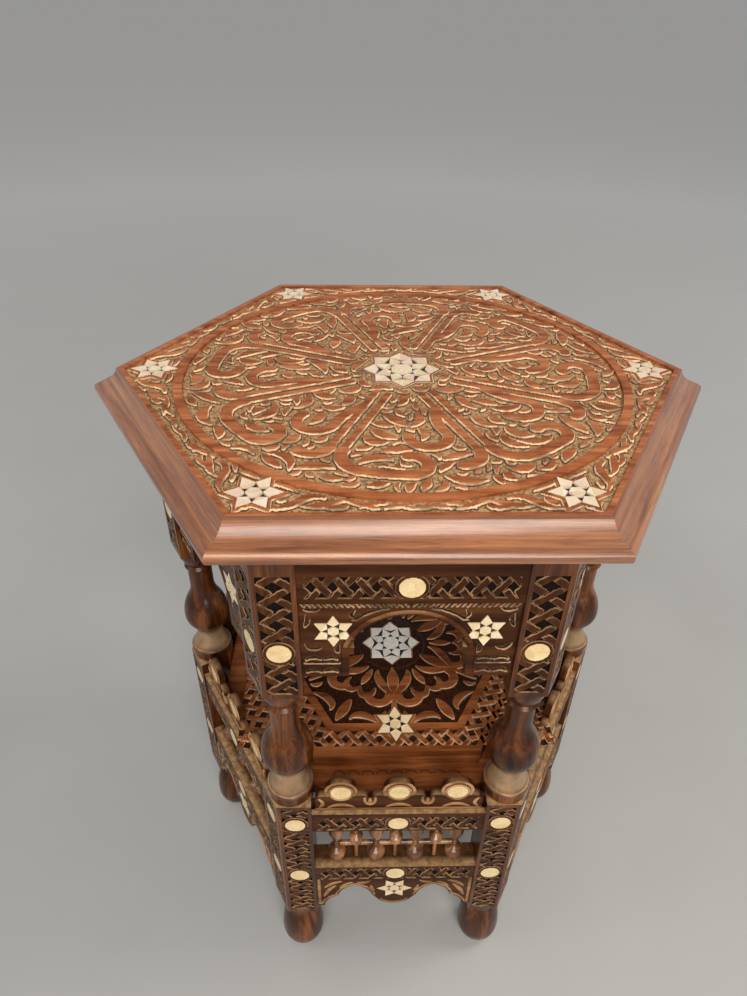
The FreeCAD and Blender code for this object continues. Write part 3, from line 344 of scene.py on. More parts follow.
BONE_TONES = [(0.3, (0.74, 0.52, 0.24)), (0.55, (0.87, 0.66, 0.35)), (0.75, (0.93, 0.76, 0.46))]
BONE_SPECKS = [(0.28, (0.55, 0.42, 0.28)), (0.38, (1, 1, 1))]


def bone(name):
    """Cream bone with faint clouds and small dark specks."""
    material, tree = new_material(name)
    place = object_place(tree)
    clouds = noise(tree, place, scale=110.0, detail=4.0)
    specks = noise(tree, place, scale=900.0, detail=1.0)
    tone = mix(tree, 0.8, ramp(tree, clouds, BONE_TONES), ramp(tree, specks, BONE_SPECKS), "MULTIPLY")
    finish(tree, tone, rescale(tree, clouds, To_Min=0.3, To_Max=0.45), Coat_Weight=0.2, Coat_Roughness=0.25)
    return material


def mastic(name):
    material, tree = new_material(name)
    clouds = noise(tree, object_place(tree), scale=300.0)
    tone = ramp(tree, clouds, [(0.35, (0.012, 0.008, 0.006)), (0.65, (0.035, 0.022, 0.015))])
    finish(tree, tone, rescale(tree, clouds, To_Min=0.4, To_Max=0.6))
    return material


# Deep, middle and light tone of each wood, and the colours of its carved grounds and their walls
# Each wall colour is paler than its wood: a painted highlight on the carved edges
TOP_TONES = ((0.22, 0.055, 0.018), (0.43, 0.135, 0.048), (0.60, 0.24, 0.095))
TOP_CARVED = ((0.55, 0.32, 0.155), (0.86, 0.6, 0.36))
EDGE_TONES = ((0.14, 0.04, 0.012), (0.31, 0.108, 0.036), (0.47, 0.195, 0.07))
CASE_TONES = ((0.024, 0.007, 0.0022), (0.06, 0.018, 0.0045), (0.125, 0.041, 0.0115))
# The case's carved ground is near black, darker than its wood: painted shade in the pits
CASE_CARVED = ((0.010, 0.004, 0.002), (0.36, 0.2, 0.1))
PANEL_CARVED = ((0.09, 0.042, 0.018), (0.46, 0.28, 0.15))
WORN_TONES = ((0.14, 0.06, 0.02), (0.36, 0.19, 0.08), (0.62, 0.38, 0.19))
TURNED_TONES = ((0.016, 0.004, 0.0012), (0.078, 0.021, 0.0045), (0.27, 0.088, 0.021))
SPINDLE_TONES = ((0.05, 0.016, 0.005), (0.2, 0.075, 0.024), (0.62, 0.3, 0.12))
SHELF_TONES = ((0.10, 0.026, 0.008), (0.25, 0.075, 0.022), (0.42, 0.15, 0.05))
SHELF_CARVED = ((0.05, 0.015, 0.005), (0.6, 0.33, 0.17))
ROPE_TONES = (CASE_TONES[1], CASE_TONES[2], WORN_TONES[1])
WARM_SHELL = [(0.0, (0.74, 0.56, 0.32)), (0.3, (0.90, 0.76, 0.54)), (0.55, (0.76, 0.52, 0.40)),
              (0.8, (0.88, 0.78, 0.62)), (1.0, (0.80, 0.62, 0.37))]
COOL_SHELL = [(0.0, (0.86, 0.82, 0.74)), (0.5, (0.98, 0.95, 0.88)), (1.0, (0.94, 0.88, 0.77))]
IVORY_SHELL = [(0.0, (0.78, 0.58, 0.30)), (0.35, (0.92, 0.76, 0.48)), (0.7, (0.82, 0.60, 0.36)),
               (1.0, (0.94, 0.80, 0.56))]

GRAIN_ANGLES = (0, 60, 120)
TOP_WEAR = {"wear_share": 0.8, "wear_scale": 45, "streaks": 150}
top_wood = wood("top_wood", TOP_TONES, **TOP_WEAR)
top_carving = wood("top_carving", TOP_TONES, carved=TOP_CARVED, **TOP_WEAR)
moulding_woods = [
    wood(f"moulding_wood_{angle}", EDGE_TONES, angle, gloss=(0.26, 0.4), coat=1.0, coat_gloss=0.26,
         specular=0.5, wear_share=0.35, streaks=240)
    for angle in GRAIN_ANGLES
]
rail_woods = [wood(f"rail_wood_{angle}", CASE_TONES, angle, dusty_and_lit=True) for angle in GRAIN_ANGLES]
leg_wood = wood("leg_wood", TURNED_TONES, upright=True, gloss=(0.24, 0.4), coat=0.5, coat_gloss=0.2,
                dusty_and_lit=True, rubbed_sheen_collar=True)
shelf_wood = wood("shelf_wood", SHELF_TONES)
case_carving = wood("case_carving", CASE_TONES, carved=CASE_CARVED)
panel_carving = wood("panel_carving", CASE_TONES, carved=PANEL_CARVED)
worn_carving = wood("worn_carving", WORN_TONES)
rope_wood = wood("rope_wood", ROPE_TONES)
shelf_carving = wood("shelf_carving", SHELF_TONES, gloss=(0.2, 0.34), coat=0.25, carved=SHELF_CARVED,
                     ground_gloss=0.45)
stile_carving = wood("stile_carving", CASE_TONES, upright=True, carved=CASE_CARVED)
spindle_wood = wood("spindle_wood", SPINDLE_TONES, upright=True, gloss=(0.2, 0.36), coat=1.0, coat_gloss=0.14)
warm_pearl = pearl("warm_pearl", WARM_SHELL)
ivory_pearl = pearl("ivory_pearl", IVORY_SHELL)
shelf_pearl = pearl("shelf_pearl", COOL_SHELL, IVORY_SHELL)
disc_bone = bone("disc_bone")
star_mastic = mastic("star_mastic")


def dress(name, material):
    """Gives a solid of the frame its finish."""
    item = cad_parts[name]
    item.data.materials.clear()
    item.data.materials.append(material)


FINISHES = [
    (top_wood, ["top_board"]),
    (shelf_wood, ["top_cleats", "shelf_base", "shelf_panel"]),
    (spindle_wood, ["screen_spindles", "screen_crosses"]),
    (warm_pearl, ["top_centre_star", "top_corner_stars"]),
    (ivory_pearl, ["arch_stars", "apron_stars"]),
    (shelf_pearl, ["shelf_stars"]),
    (disc_bone, ["leg_discs", "rail_discs", "gallery_discs"]),
    (star_mastic, ["star_beds"]),
]


def dress_solids():
    for material, names in FINISHES:
        for name in names:
            dress(name, material)
    for side in range(SIDES):
        number = side + 1
        grain = side % len(GRAIN_ANGLES)
        dress(f"edge_moulding_{number}", moulding_woods[grain])
        dress(f"leg_{number}", leg_wood)
        for part in ("upper_rail", "middle_rail", "apron_rail", "arch_panel", "gallery"):
            dress(f"{part}_{number}", rail_woods[grain])


# Relief: heights over a grid, drawn with strokes or with a lattice of straps. A stroke is a line of points
# and its half width at each of them.

def smooth(low, high, value):
    share = np.clip((value - low) / (high - low), 0, 1)
    return share * share * (3 - 2 * share)


def bezier(points, count):
    """Points along the curve that the control points pull out."""
    steps = np.linspace(0, 1, count)[:, None]
    rows = [np.repeat(point[None], count, 0) for point in np.array(points, float)]
    while len(rows) > 1:
        rows = [first * (1 - steps) + second * steps for first, second in zip(rows, rows[1:])]
    return rows[0]


def tapered(points, start, middle, end, count=16):
    """A stroke along a curve, with its half width at the start, the middle and the end."""
    steps = np.linspace(0, 1, count)
    swell = np.sin(steps * math.pi)
    ends = np.where(steps < 0.5, start, end)
    return bezier(points, count), ends + (middle - ends) * swell


def straight(points, half_width):
    return np.array(points, float), np.full(len(points), half_width)


def rays(rows):
    """Tapered strokes whose control points are given as radius and degrees."""
    return [tapered([polar(*point) for point in points], *widths) for points, *widths in rows]


def shifted(row, x, y, hand=1):
    """A tapered stroke whose control points are given from a place, and mirrored by a hand of -1."""
    points, *widths = row
    return tapered([(x + hand * across, y + up) for across, up in points], *widths)


def arc_stroke(x, y, radius, turns, half_width, count=24):
    angles = np.radians(np.linspace(*turns, count))
    line = np.stack([x + radius * np.cos(angles), y + radius * np.sin(angles)], -1)
    return line, np.full(count, half_width)


def with_neighbours(strokes, step):
    """The strokes of a sector and of the sectors on either side of it."""
    copies = []
    for turn in np.radians([-step, 0, step]):
        matrix = np.array([[math.cos(turn), math.sin(turn)], [-math.sin(turn), math.cos(turn)]])
        copies += [(line @ matrix, width) for line, width in strokes]
    return copies


def mirrored(strokes):
    return strokes + [(line * np.array([-1, 1]), width) for line, width in strokes]


FAR_AWAY = 1e3
STROKE_MARGIN = 6.0


def edge_distance(x, y, strokes):
    """Distance to the nearest stroke's edge, negative inside it. It is worked out only near each stroke."""
    best = np.full(x.shape, FAR_AWAY)
    for line, width in strokes:
        low = line.min(0) - width.max() - STROKE_MARGIN
        high = line.max(0) + width.max() + STROKE_MARGIN
        near = (x > low[0]) & (x < high[0]) & (y > low[1]) & (y < high[1])
        part = np.full(np.count_nonzero(near), FAR_AWAY)
        for start, end, first, second in zip(line[:-1], line[1:], width[:-1], width[1:]):
            run = end - start
            from_x, from_y = x[near] - start[0], y[near] - start[1]
            share = np.clip((from_x * run[0] + from_y * run[1]) / max(run @ run, 1e-9), 0, 1)
            reach = np.hypot(from_x - share * run[0], from_y - share * run[1])
            part = np.minimum(part, reach - first - share * (second - first))
        best[near] = np.minimum(best[near], part)
    return best


def turned_axes(x, y, degrees):
    turn = math.radians(degrees)
    return x * math.cos(turn) + y * math.sin(turn), y * math.cos(turn) - x * math.sin(turn)


def folded(x, y, parts):
    """Coordinates turned into the first of that many like sectors, which lies about the X axis."""
    step = 2 * math.pi / parts
    turn = (np.arctan2(y, x) + step / 2) % step - step / 2
    reach = np.hypot(x, y)
    return reach * np.cos(turn), reach * np.sin(turn)


def hexagon_reach(x, y):
    """Distance from the middle, measured square to the nearest side of a hexagon like the table's."""
    turns = np.radians(30 + STEP_ANGLE * np.arange(SIDES))
    return np.max([x * math.cos(turn) + y * math.sin(turn) for turn in turns], 0)


WAVER = 0.25


def wobble(x, y):
    """Small waver of a hand-cut edge."""
    return WAVER * np.sin(0.9 * x + 1.3 * np.sin(0.37 * y)) * np.sin(0.8 * y + 1.1 * np.sin(0.41 * x))


# The fine line cut along the edge of raised carving: its depth as a share, its inset and its width
LINE_SHARE = 0.18
LINE_INSET = 1.6
LINE_WIDTH = 0.45


def carve_depth(distance, bevel=0.55):
    """Raised inside the strokes, with sloped walls and a fine line cut along each edge."""
    line = np.exp(-((distance + LINE_INSET) / LINE_WIDTH) ** 2)
    return RELIEF_DEPTH * smooth(bevel, -bevel, distance) - LINE_SHARE * RELIEF_DEPTH * line


EDGE_REACH = 4.0


def edge_tone(distance):
    """Shade across a carved edge: low on the ground, a half at the edge itself, high on raised wood."""
    return np.clip(0.5 - distance / EDGE_REACH, 0, 1)


STRAP_BEVEL = 0.7
# Where a strap goes under another: the dip beside the upper one, its width, and the gap that shades it
WEAVE_DIP = 0.5
WEAVE_DIP_WIDTH = 0.4
WEAVE_GAP = 0.9


def strap_lattice(along, across, pitch, width, strap, depth, weave=0.45):
    """Straps that cross on a band, with a row of diamond pits along its middle and half pits at its edges.
    Gives the height, and the distance from the straps' edges."""
    spacing = 1 / math.hypot(1 / pitch, 1 / width)
    rising = along / pitch - across / width
    falling = along / pitch + across / width
    first = np.abs(rising % 1 - 0.5) * spacing
    second = np.abs(falling % 1 - 0.5) * spacing
    first_over = (np.floor(rising) + np.floor(falling)) % 2 == 0
    over = np.where(first_over, first, second)
    under = np.where(first_over, second, first)
    half = strap / 2
    dip = np.exp(-((over - half - WEAVE_DIP) / WEAVE_DIP_WIDTH) ** 2)
    over_height = smooth(half + STRAP_BEVEL, half - STRAP_BEVEL, over)
    under_height = smooth(half + STRAP_BEVEL, half - STRAP_BEVEL, under) * (1 - weave * dip)
    under_edge = np.maximum(under - half, WEAVE_GAP + half - over)
    return depth * np.maximum(over_height, under_height), np.minimum(over - half, under_edge)


def star_reach(x, y, tip, points, degrees=0):
    """Distance outside a star's edge, negative inside it."""
    step = math.pi / points
    notch = tip * math.cos(2 * step) / math.cos(step)
    along, across = folded(*turned_axes(x, y, degrees), points)
    run = np.array([notch * math.cos(step) - tip, notch * math.sin(step)])
    outward = np.array([run[1], -run[0]]) / np.hypot(*run)
    return (along - tip) * outward[0] + np.abs(across) * outward[1]


STAR_COLLAR = 2.0
COLLAR_SLOPE = 1.0
STAR_RIM = 0.3


def seat_star(height, distance, reach, depth=RELIEF_DEPTH, collar=STAR_COLLAR):
    """Plain wood round an inlaid star. Under the star itself the sheet dips out of sight."""
    wall = depth * smooth(collar, collar - COLLAR_SLOPE, reach)
    height = np.where(reach < collar, np.maximum(height, wall), height)
    return np.where(reach < STAR_RIM, 0.0, height), np.minimum(distance, reach - collar)


DISC_RING = DISC_RADIUS + 2.2
DISC_GROOVE = 1.0
DISC_GROOVE_SHARE = 0.7
DISC_GROOVE_SPREAD = 0.5
DISC_OVERLAP = 0.4
UNDER_DISC = 0.2


def disc_collar(height, distance, reach):
    """A plain ring round a bone disc, parted from the carving by a groove. It dips under the disc."""
    within = reach < DISC_RING + DISC_GROOVE
    groove = np.exp(-((reach - DISC_RING - DISC_GROOVE / 2) / DISC_GROOVE_SPREAD) ** 2)
    height = np.where(within, BAND_DEPTH * (1 - DISC_GROOVE_SHARE * groove), height)
    distance = np.where(within, reach - DISC_RING, distance)
    return np.where(reach < DISC_RADIUS - DISC_OVERLAP, UNDER_DISC, height), distance


# A sheet lies this far above its ground, and the rim of carving on a plain face this far under that face
SHEET_LIFT = 0.1
HIDDEN_RIM = -0.2


def grid(low, high, steps):
    """Coordinates over the rectangle between two corners, with one step or a step for each axis."""
    axes = [np.linspace(start, end, max(2, int(round((end - start) / step)) + 1))
            for start, end, step in zip(low, high, np.broadcast_to(steps, 2))]
    return np.meshgrid(*axes)


def relief_mesh(name, x, y, height, distance, material, place, shown=None):
    """A carved sheet over a grid, carried into place by a matrix. Distance from carved edges shades it."""
    rows, columns = height.shape
    index = np.arange(rows * columns).reshape(rows, columns)
    quads = np.stack([index[:-1, :-1], index[:-1, 1:], index[1:, 1:], index[1:, :-1]], -1).reshape(-1, 4)
    if shown is not None:
        quads = quads[shown.reshape(-1)[quads].all(1)]
    used, quads = np.unique(quads, return_inverse=True)
    quads = quads.reshape(-1, 4)
    points = np.stack([x, y, height + SHEET_LIFT], -1).reshape(-1, 3)[used]
    mesh = bpy.data.meshes.new(name)
    mesh.from_pydata((points * MM).tolist(), [], quads.tolist())
    tone = mesh.attributes.new("carve", "FLOAT", "POINT")
    tone.data.foreach_set("value", edge_tone(distance).reshape(-1)[used].astype(np.float32))
    mesh.polygons.foreach_set("use_smooth", np.ones(len(mesh.polygons), bool))
    mesh.transform(place)
    mesh.materials.append(material)
    return mesh


def sunk_relief(name, x, y, height, distance, depth, material, place, shown=None):
    """A carved sheet in a sunk ground, no higher than the face round it."""
    height = np.clip(height, 0, depth - SHEET_LIFT)
    return relief_mesh(name, x, y, height, distance, material, place, shown)


def add_item(name, data):
    item = bpy.data.objects.new(name, data)
    bpy.context.scene.collection.objects.link(item)
    return item


def add_piece(name, mesh, angle=0):
    piece = add_item(name, mesh)
    piece.matrix_world = Matrix.Rotation(math.radians(angle), 4, "Z")
    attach(piece, "root")


def six_pieces(name, mesh):
    for side in range(SIDES):
        add_piece(f"{name}_{side + 1}", mesh, STEP_ANGLE * side)


def lying(level):
    return Matrix.Translation((0, 0, level * MM))


def on_face(apothem, x=0.0, level=0.0):
    """Carries a sheet onto the front: its X along the face, its Y upwards, its height outwards."""
    turn = Matrix.Rotation(math.radians(90), 4, "X")
    return Matrix.Translation((x * MM, -apothem * MM, level * MM)) @ turn


# Top: a roundel of radial straps, scrolls and leaves, and leaf scrolls in the six corners

TOP_STEP = 0.8
ROUNDEL_PARTS = 8
ROUNDEL_TURN = 180 / ROUNDEL_PARTS
CENTRE_STAR_RADIUS = 26.5
CORNER_STAR_RADIUS = 16.0
CORNER_STAR_INSET = 24.4
CORNER_BEVEL = 0.45
# How far a sheet reaches past the edge of its ground
SHEET_OVERLAP = 0.7
# Shares of the roundel's radius, as in the solid: the pair of straps on each ray, and the scrolls beside
# it, with start, heading, bends as radius and degrees to the left, and half width
STRAP_REACH = (0.26, 0.76)
STRAP_OFFSET = 0.0285
STRAP_HALF_WIDTH = 0.0125
ROUNDEL_SCROLLS = [
    ((0.757, 0.0285), 0, [(0.108, 99), (0.878, 12), (0.064, 95), (0.064, 95)], 0.024),
    ((0.405, -0.034), -35, [(0.27, 40), (0.081, -105), (0.081, -105)], 0.0216),
    ((0.757, -0.0285), 0, [(0.075, -115)], 0.023),
]
BEND_STEPS = 13
# How far the carved skin reaches past the solid strap or scroll under it
SKIN = 0.6
# The solid's boss round the middle star, which the skin covers
BOSS_MARGIN = 5.0
BOSS_HEIGHT = 1.55
BOSS_SLOPE = 0.6
# Leaves that fill the ground between the scrolls, large ones first: tries, lengths and half widths
LEAF_SIZES = [(700, (15, 26), (3.1, 4.1)), (1000, (9, 15), (2.1, 3.0)), (1600, (4.5, 8), (1.3, 1.9))]
LEAF_TIP = 0.7
LEAF_TURN = 85
LEAF_BEND = 0.6
LEAF_POINTS = 9
LEAF_GAP = 0.85
LEAF_SEED = 11
# Leaves beside the middle of a corner, as radius and degrees, with half widths
CORNER_LEAVES = [
    ([(181, 4.5), (176, 9.5), (166, 7.5), (161, 9.5), (161.5, 12.5)], 0.8, 2.6, 1.2),
    ([(172, 9.3), (171, 13), (164, 14), (161, 16.5)], 0.6, 2.6, 0.5),
    ([(169.5, 12.6), (170, 15.5), (166, 17.5), (164.5, 17)], 0.5, 1.9, 0.6),
    ([(160.5, 14.5), (160, 18), (164.5, 20.5), (165, 23)], 0.5, 2.0, 0.5),
    ([(165.5, 19.5), (161, 21), (160, 24.5)], 0.5, 1.6, 0.5),
    ([(164.5, 24), (161, 25.5), (161.5, 29)], 0.5, 1.6, 0.5),
    ([(160, 26), (163, 27.5), (163.5, 30)], 0.4, 1.3, 0.8),
    ([(188.5, 0.0), (184.5, 2.6), (184, 0)], 0.3, 1.0, 0.3),
    ([(160.5, 1.5), (158.5, 4.5), (161, 7)], 0.4, 1.6, 0.4),
]


def bent_stroke(scale, start, heading, bends, half_width):
    """A stroke of even width through bends, whose sizes are shares of the scale."""
    place = np.array(start)
    line = [place]
    for radius, degrees in bends:
        side = math.copysign(90, degrees)
        centre = place + polar(radius, heading + side)
        shares = np.linspace(0, 1, BEND_STEPS)[1:]
        line += [centre + polar(radius, heading + degrees * share - side) for share in shares]
        heading += degrees
        place = line[-1]
    return np.array(line) * scale, np.full(len(line), half_width * scale + SKIN)


def roundel_strokes():
    half_width = STRAP_HALF_WIDTH * roundel_radius + SKIN
    straps = []
    for hand in (-1, 1):
        ends = [np.array([reach, STRAP_OFFSET * hand]) * roundel_radius for reach in STRAP_REACH]
        straps.append(straight(ends, half_width))
    return straps + [bent_stroke(roundel_radius, *scroll) for scroll in ROUNDEL_SCROLLS]


def random_leaf(random, middle, lengths, half_widths):
    heading = math.degrees(math.atan2(middle[1], middle[0])) + random.uniform(-LEAF_TURN, LEAF_TURN)
    length = random.uniform(*lengths)
    along = polar(length / 2, heading)
    across = polar(random.uniform(-LEAF_BEND, LEAF_BEND) * length, heading + 90)
    half_width = random.uniform(*half_widths)
    points = [middle - along, middle + across, middle + along]
    return tapered(points, LEAF_TIP, half_width, LEAF_TIP, LEAF_POINTS)


def scatter_leaves(x, y, distance):
    """Fills free ground with curved leaves, each clear of what is there already."""
    random = np.random.default_rng(LEAF_SEED)
    corner = np.array([x[0, 0], y[0, 0]])
    step = np.array([x[0, 1] - x[0, 0], y[1, 0] - y[0, 0]])
    for tries, lengths, half_widths in LEAF_SIZES:
        for _ in range(tries):
            free = np.argwhere(distance > half_widths[0] + LEAF_GAP)
            if len(free) == 0:
                break
            row, column = free[random.integers(len(free))]
            leaf = random_leaf(random, np.array([x[row, column], y[row, column]]), lengths, half_widths)
            columns, rows = np.rint((leaf[0] - corner) / step).astype(int).T
            rows = np.clip(rows, 0, distance.shape[0] - 1)
            columns = np.clip(columns, 0, distance.shape[1] - 1)
            if (distance[rows, columns] > leaf[1] + LEAF_GAP).all():
                distance = np.minimum(distance, edge_distance(x, y, [leaf]))
    return distance


def carve_roundel():
    x, y = grid((-roundel_radius,) * 2, (roundel_radius,) * 2, TOP_STEP)
    reach = np.hypot(x, y)
    sector_x, sector_y = folded(*turned_axes(x, y, ROUNDEL_TURN), ROUNDEL_PARTS)
    distance = edge_distance(sector_x, sector_y, with_neighbours(roundel_strokes(), 360 / ROUNDEL_PARTS))
    from_star = star_reach(x, y, CENTRE_STAR_RADIUS, ROUNDEL_PARTS)
    bounded = np.minimum(distance, np.minimum(roundel_radius - reach, from_star - STAR_COLLAR))
    leaves = scatter_leaves(x, y, bounded)
    distance = np.where(leaves < bounded, leaves, distance) + wobble(x, y)
    distance = np.minimum(distance, from_star - STAR_COLLAR)
    height = carve_depth(distance)
    boss_radius = CENTRE_STAR_RADIUS + BOSS_MARGIN
    boss = BOSS_HEIGHT * smooth(boss_radius + BOSS_SLOPE, boss_radius - BOSS_SLOPE, reach)
    height = np.where(from_star < STAR_RIM, 0.0, boss + height * (1 - boss / RELIEF_DEPTH))
    mesh = sunk_relief("top_roundel", x, y, height, distance, RELIEF_DEPTH, top_carving,
                       lying(table_top - RELIEF_DEPTH), reach < roundel_radius)
    add_piece("top_roundel_carving", mesh)


def carve_corners():
    ring_outer = roundel_radius + RING_WIDTH
    border = field_apothem - BORDER_WIDTH
    corner = border / COS30
    x, y = grid((-corner, -border), (corner, border), TOP_STEP)
    sector_x, sector_y = folded(x, y, SIDES)
    distance = edge_distance(sector_x, np.abs(sector_y), rays(CORNER_LEAVES))
    star_x = field_apothem / COS30 - CORNER_STAR_INSET
    from_star = star_reach(sector_x - star_x, sector_y, CORNER_STAR_RADIUS, SIDES)
    from_ring = np.hypot(x, y) - ring_outer
    from_border = border - hexagon_reach(x, y)
    bounded = np.minimum(np.minimum(distance, from_star - STAR_COLLAR), np.minimum(from_ring, from_border))
    leaves = scatter_leaves(x, y, bounded)
    distance = np.where(leaves < bounded, leaves, distance) + wobble(x, y)
    height = carve_depth(distance, CORNER_BEVEL)
    height, distance = seat_star(height, distance, from_star)
    shown = (from_ring > -SHEET_OVERLAP) & (from_border > -SHEET_OVERLAP)
    mesh = sunk_relief("top_corner", x, y, height, distance, RELIEF_DEPTH, top_carving,
                       lying(table_top - RELIEF_DEPTH), shown)
    add_piece("top_corner_carving", mesh)


# Case: strap lattices in the sunk bands of the rails and of the legs

LATTICE_STEP = 0.75
RAIL_PITCH = 12.6
RAIL_STRAP = 4.6
UPPER_STILE_PITCH = 15.4
LOWER_STILE_PITCH = 11.4
STILE_STRAP = 5.0
UPPER_BAND_CENTRE = 12.5
MIDDLE_BAND_CENTRE = 10.0
APRON_BAND_DROP = 11.0
STILE_BAND_MARGIN = 4.0
STILE_BAND_TOP = 22.0
UPPER_DISC_HEIGHT = 42.0
MIDDLE_DISC_DROP = 25.0
LOWER_DISC_HEIGHT = 63.0


def carve_rail(name, level):
    reach = half_span - BAND_END_MARGIN
    half = RAIL_BAND_HEIGHT / 2
    x, y = grid((-reach, -half), (reach, half), LATTICE_STEP)
    from_disc = np.abs(x) - DISC_RADIUS
    height, distance = strap_lattice(from_disc, y, RAIL_PITCH, RAIL_BAND_HEIGHT, RAIL_STRAP, BAND_DEPTH)
    distance += wobble(x, y)
    height, distance = disc_collar(height, distance, np.hypot(x, y))
    place = on_face(rail_front - BAND_DEPTH, 0, level)
    six_pieces(name, sunk_relief(name, x, y, height, distance, BAND_DEPTH, case_carving, place))


def carve_stile(name, bottom, top, discs, pitch):
    half = STILE_BAND_WIDTH / 2
    x, y = grid((-half, 0), (half, top - bottom), LATTICE_STEP)
    height, distance = strap_lattice(y, x, pitch, STILE_BAND_WIDTH, STILE_STRAP, BAND_DEPTH)
    distance += wobble(x, y)
    for disc in discs:
        height, distance = disc_collar(height, distance, np.hypot(x, y - disc + bottom))
    for hand, label in ((-1, f"{name}_left"), (1, f"{name}_right")):
        place = on_face(case_apothem - BAND_DEPTH, stile_middle * hand, bottom)
        six_pieces(label, sunk_relief(label, x, y, height, distance, BAND_DEPTH, stile_carving, place))


def carve_case():
    carve_rail("upper_rail_carving", upper_rail_bottom + UPPER_BAND_CENTRE)
    carve_rail("middle_rail_carving", middle_rail_bottom + MIDDLE_BAND_CENTRE)
    carve_rail("apron_band_carving", apron_top - APRON_BAND_DROP)
    upper_band_top = upper_rail_bottom + STILE_BAND_TOP
    carve_stile("upper_stile_carving", UPPER_BLOCK_BOTTOM + STILE_BAND_MARGIN, upper_band_top,
                [UPPER_BLOCK_BOTTOM + UPPER_DISC_HEIGHT], UPPER_STILE_PITCH)
    carve_stile("lower_stile_carving", FOOT_HEIGHT + STILE_BAND_MARGIN, LOWER_BLOCK_TOP - STILE_BAND_MARGIN,
                [LOWER_BLOCK_TOP - MIDDLE_DISC_DROP, FOOT_HEIGHT + LOWER_DISC_HEIGHT], LOWER_STILE_PITCH)


# Arch panels: plain wood round the stars, cut pits, and a rope along the arch

ARCH_HALF_WIDTH = 36.6
ARCH_RISE = 28.0
ARCH_CROWN = 11.0
ARCHIVOLT_WIDTH = 5.0
ARCHIVOLT_OVERLAP = 0.8
ARCH_STAR_RADIUS = 13.2
ARCH_STAR_INSET = 20.4
ARCH_STAR_DROP = 24.8
PANEL_STEP = 0.7
PIT_BEVEL = 0.5
ROPE_PITCH = 3.4
ROPE_RISE = 0.4
ROPE_HALF_WIDTH = 1.5
ROPE_TWIST = 0.35
ROPE_STEPS = (0.55, 0.4)
# Slanted nicks along the panel's upper edge
NICK_SPACING = 3.2
NICK_LEAN = 2.4
NICK_LEVELS = (60.4, 63.6)
NICK_HALF_WIDTH = 0.45
# Pits on the right half, as distances from the middle and above the panel's lower edge
PANEL_PITS = [
    ([(13, 59.0), (31, 57.0), (41, 39)], 0.6, 1.1, 0.6),
    ([(33, 57.5), (37, 53.0), (33, 51.5)], 0.4, 1.2, 0.4),
    ([(54, 58.5), (58, 56.5), (63, 58.5)], 0.4, 1.2, 0.4),
    ([(62, 54), (60, 49), (63, 44)], 0.5, 1.6, 0.5),
    ([(43, 27.5), (45, 24.5), (43, 21.5)], 0.6, 1.6, 0.6),
    ([(54, 26.0), (60, 23.5), (63, 29)], 0.6, 1.9, 0.6),
    ([(44, 15), (48, 19.2), (52, 15)], 0.6, 1.7, 0.6),
    ([(54, 15), (58.5, 19.2), (63, 15)], 0.6, 1.7, 0.6),
    ([(43, 12), (64, 12)], 0.7, 0.7, 0.7),
    ([(44, 3.4), (48, 8.4), (52, 3.4)], 0.6, 1.9, 0.6),
    ([(54, 3.4), (58.5, 8.4), (63, 3.4)], 0.6, 1.9, 0.6),
]


def arch_circle(half_width, rise):
    """Radius of an arch's arc, and its centre's height above the springing."""
    radius = (half_width**2 + rise**2) / (2 * rise)
    return radius, rise - radius


def panel_pits():
    low, high = NICK_LEVELS
    starts = np.arange(NICK_SPACING / 2, half_span - NICK_SPACING, NICK_SPACING)
    nicks = [straight([(start, low), (start + NICK_LEAN, high)], NICK_HALF_WIDTH) for start in starts]
    return [tapered(*row) for row in PANEL_PITS] + nicks


def carve_arch_panels():
    springing = upper_rail_bottom - ARCH_CROWN - ARCH_RISE - panel_bottom
    outer_half = ARCH_HALF_WIDTH + ARCHIVOLT_WIDTH
    radius, centre = arch_circle(outer_half, ARCH_RISE + ARCHIVOLT_WIDTH)
    x, y = grid((-half_span, 0), (half_span, upper_rail_bottom - panel_bottom), PANEL_STEP)
    arc_reach = np.hypot(x, y - springing - centre) - radius
    outside = np.where(y > springing, arc_reach, np.abs(x) - outer_half)
    distance = -edge_distance(np.abs(x), y, panel_pits()) + wobble(x, y)
    height = BAND_DEPTH * smooth(PIT_BEVEL, -PIT_BEVEL, distance)
    star_x = half_span - ARCH_STAR_INSET
    star_y = upper_rail_bottom - ARCH_STAR_DROP - panel_bottom
    from_star = star_reach(np.abs(x) - star_x, y - star_y, ARCH_STAR_RADIUS, SIDES, 90)
    height, distance = seat_star(height, distance, from_star, BAND_DEPTH)
    mesh = sunk_relief("arch_panel_carving", x, y, height, distance, BAND_DEPTH, panel_carving,
                       on_face(panel_front - BAND_DEPTH, 0, panel_bottom), outside > -ARCHIVOLT_OVERLAP)
    six_pieces("arch_panel_carving", mesh)
    rope_arch(springing)


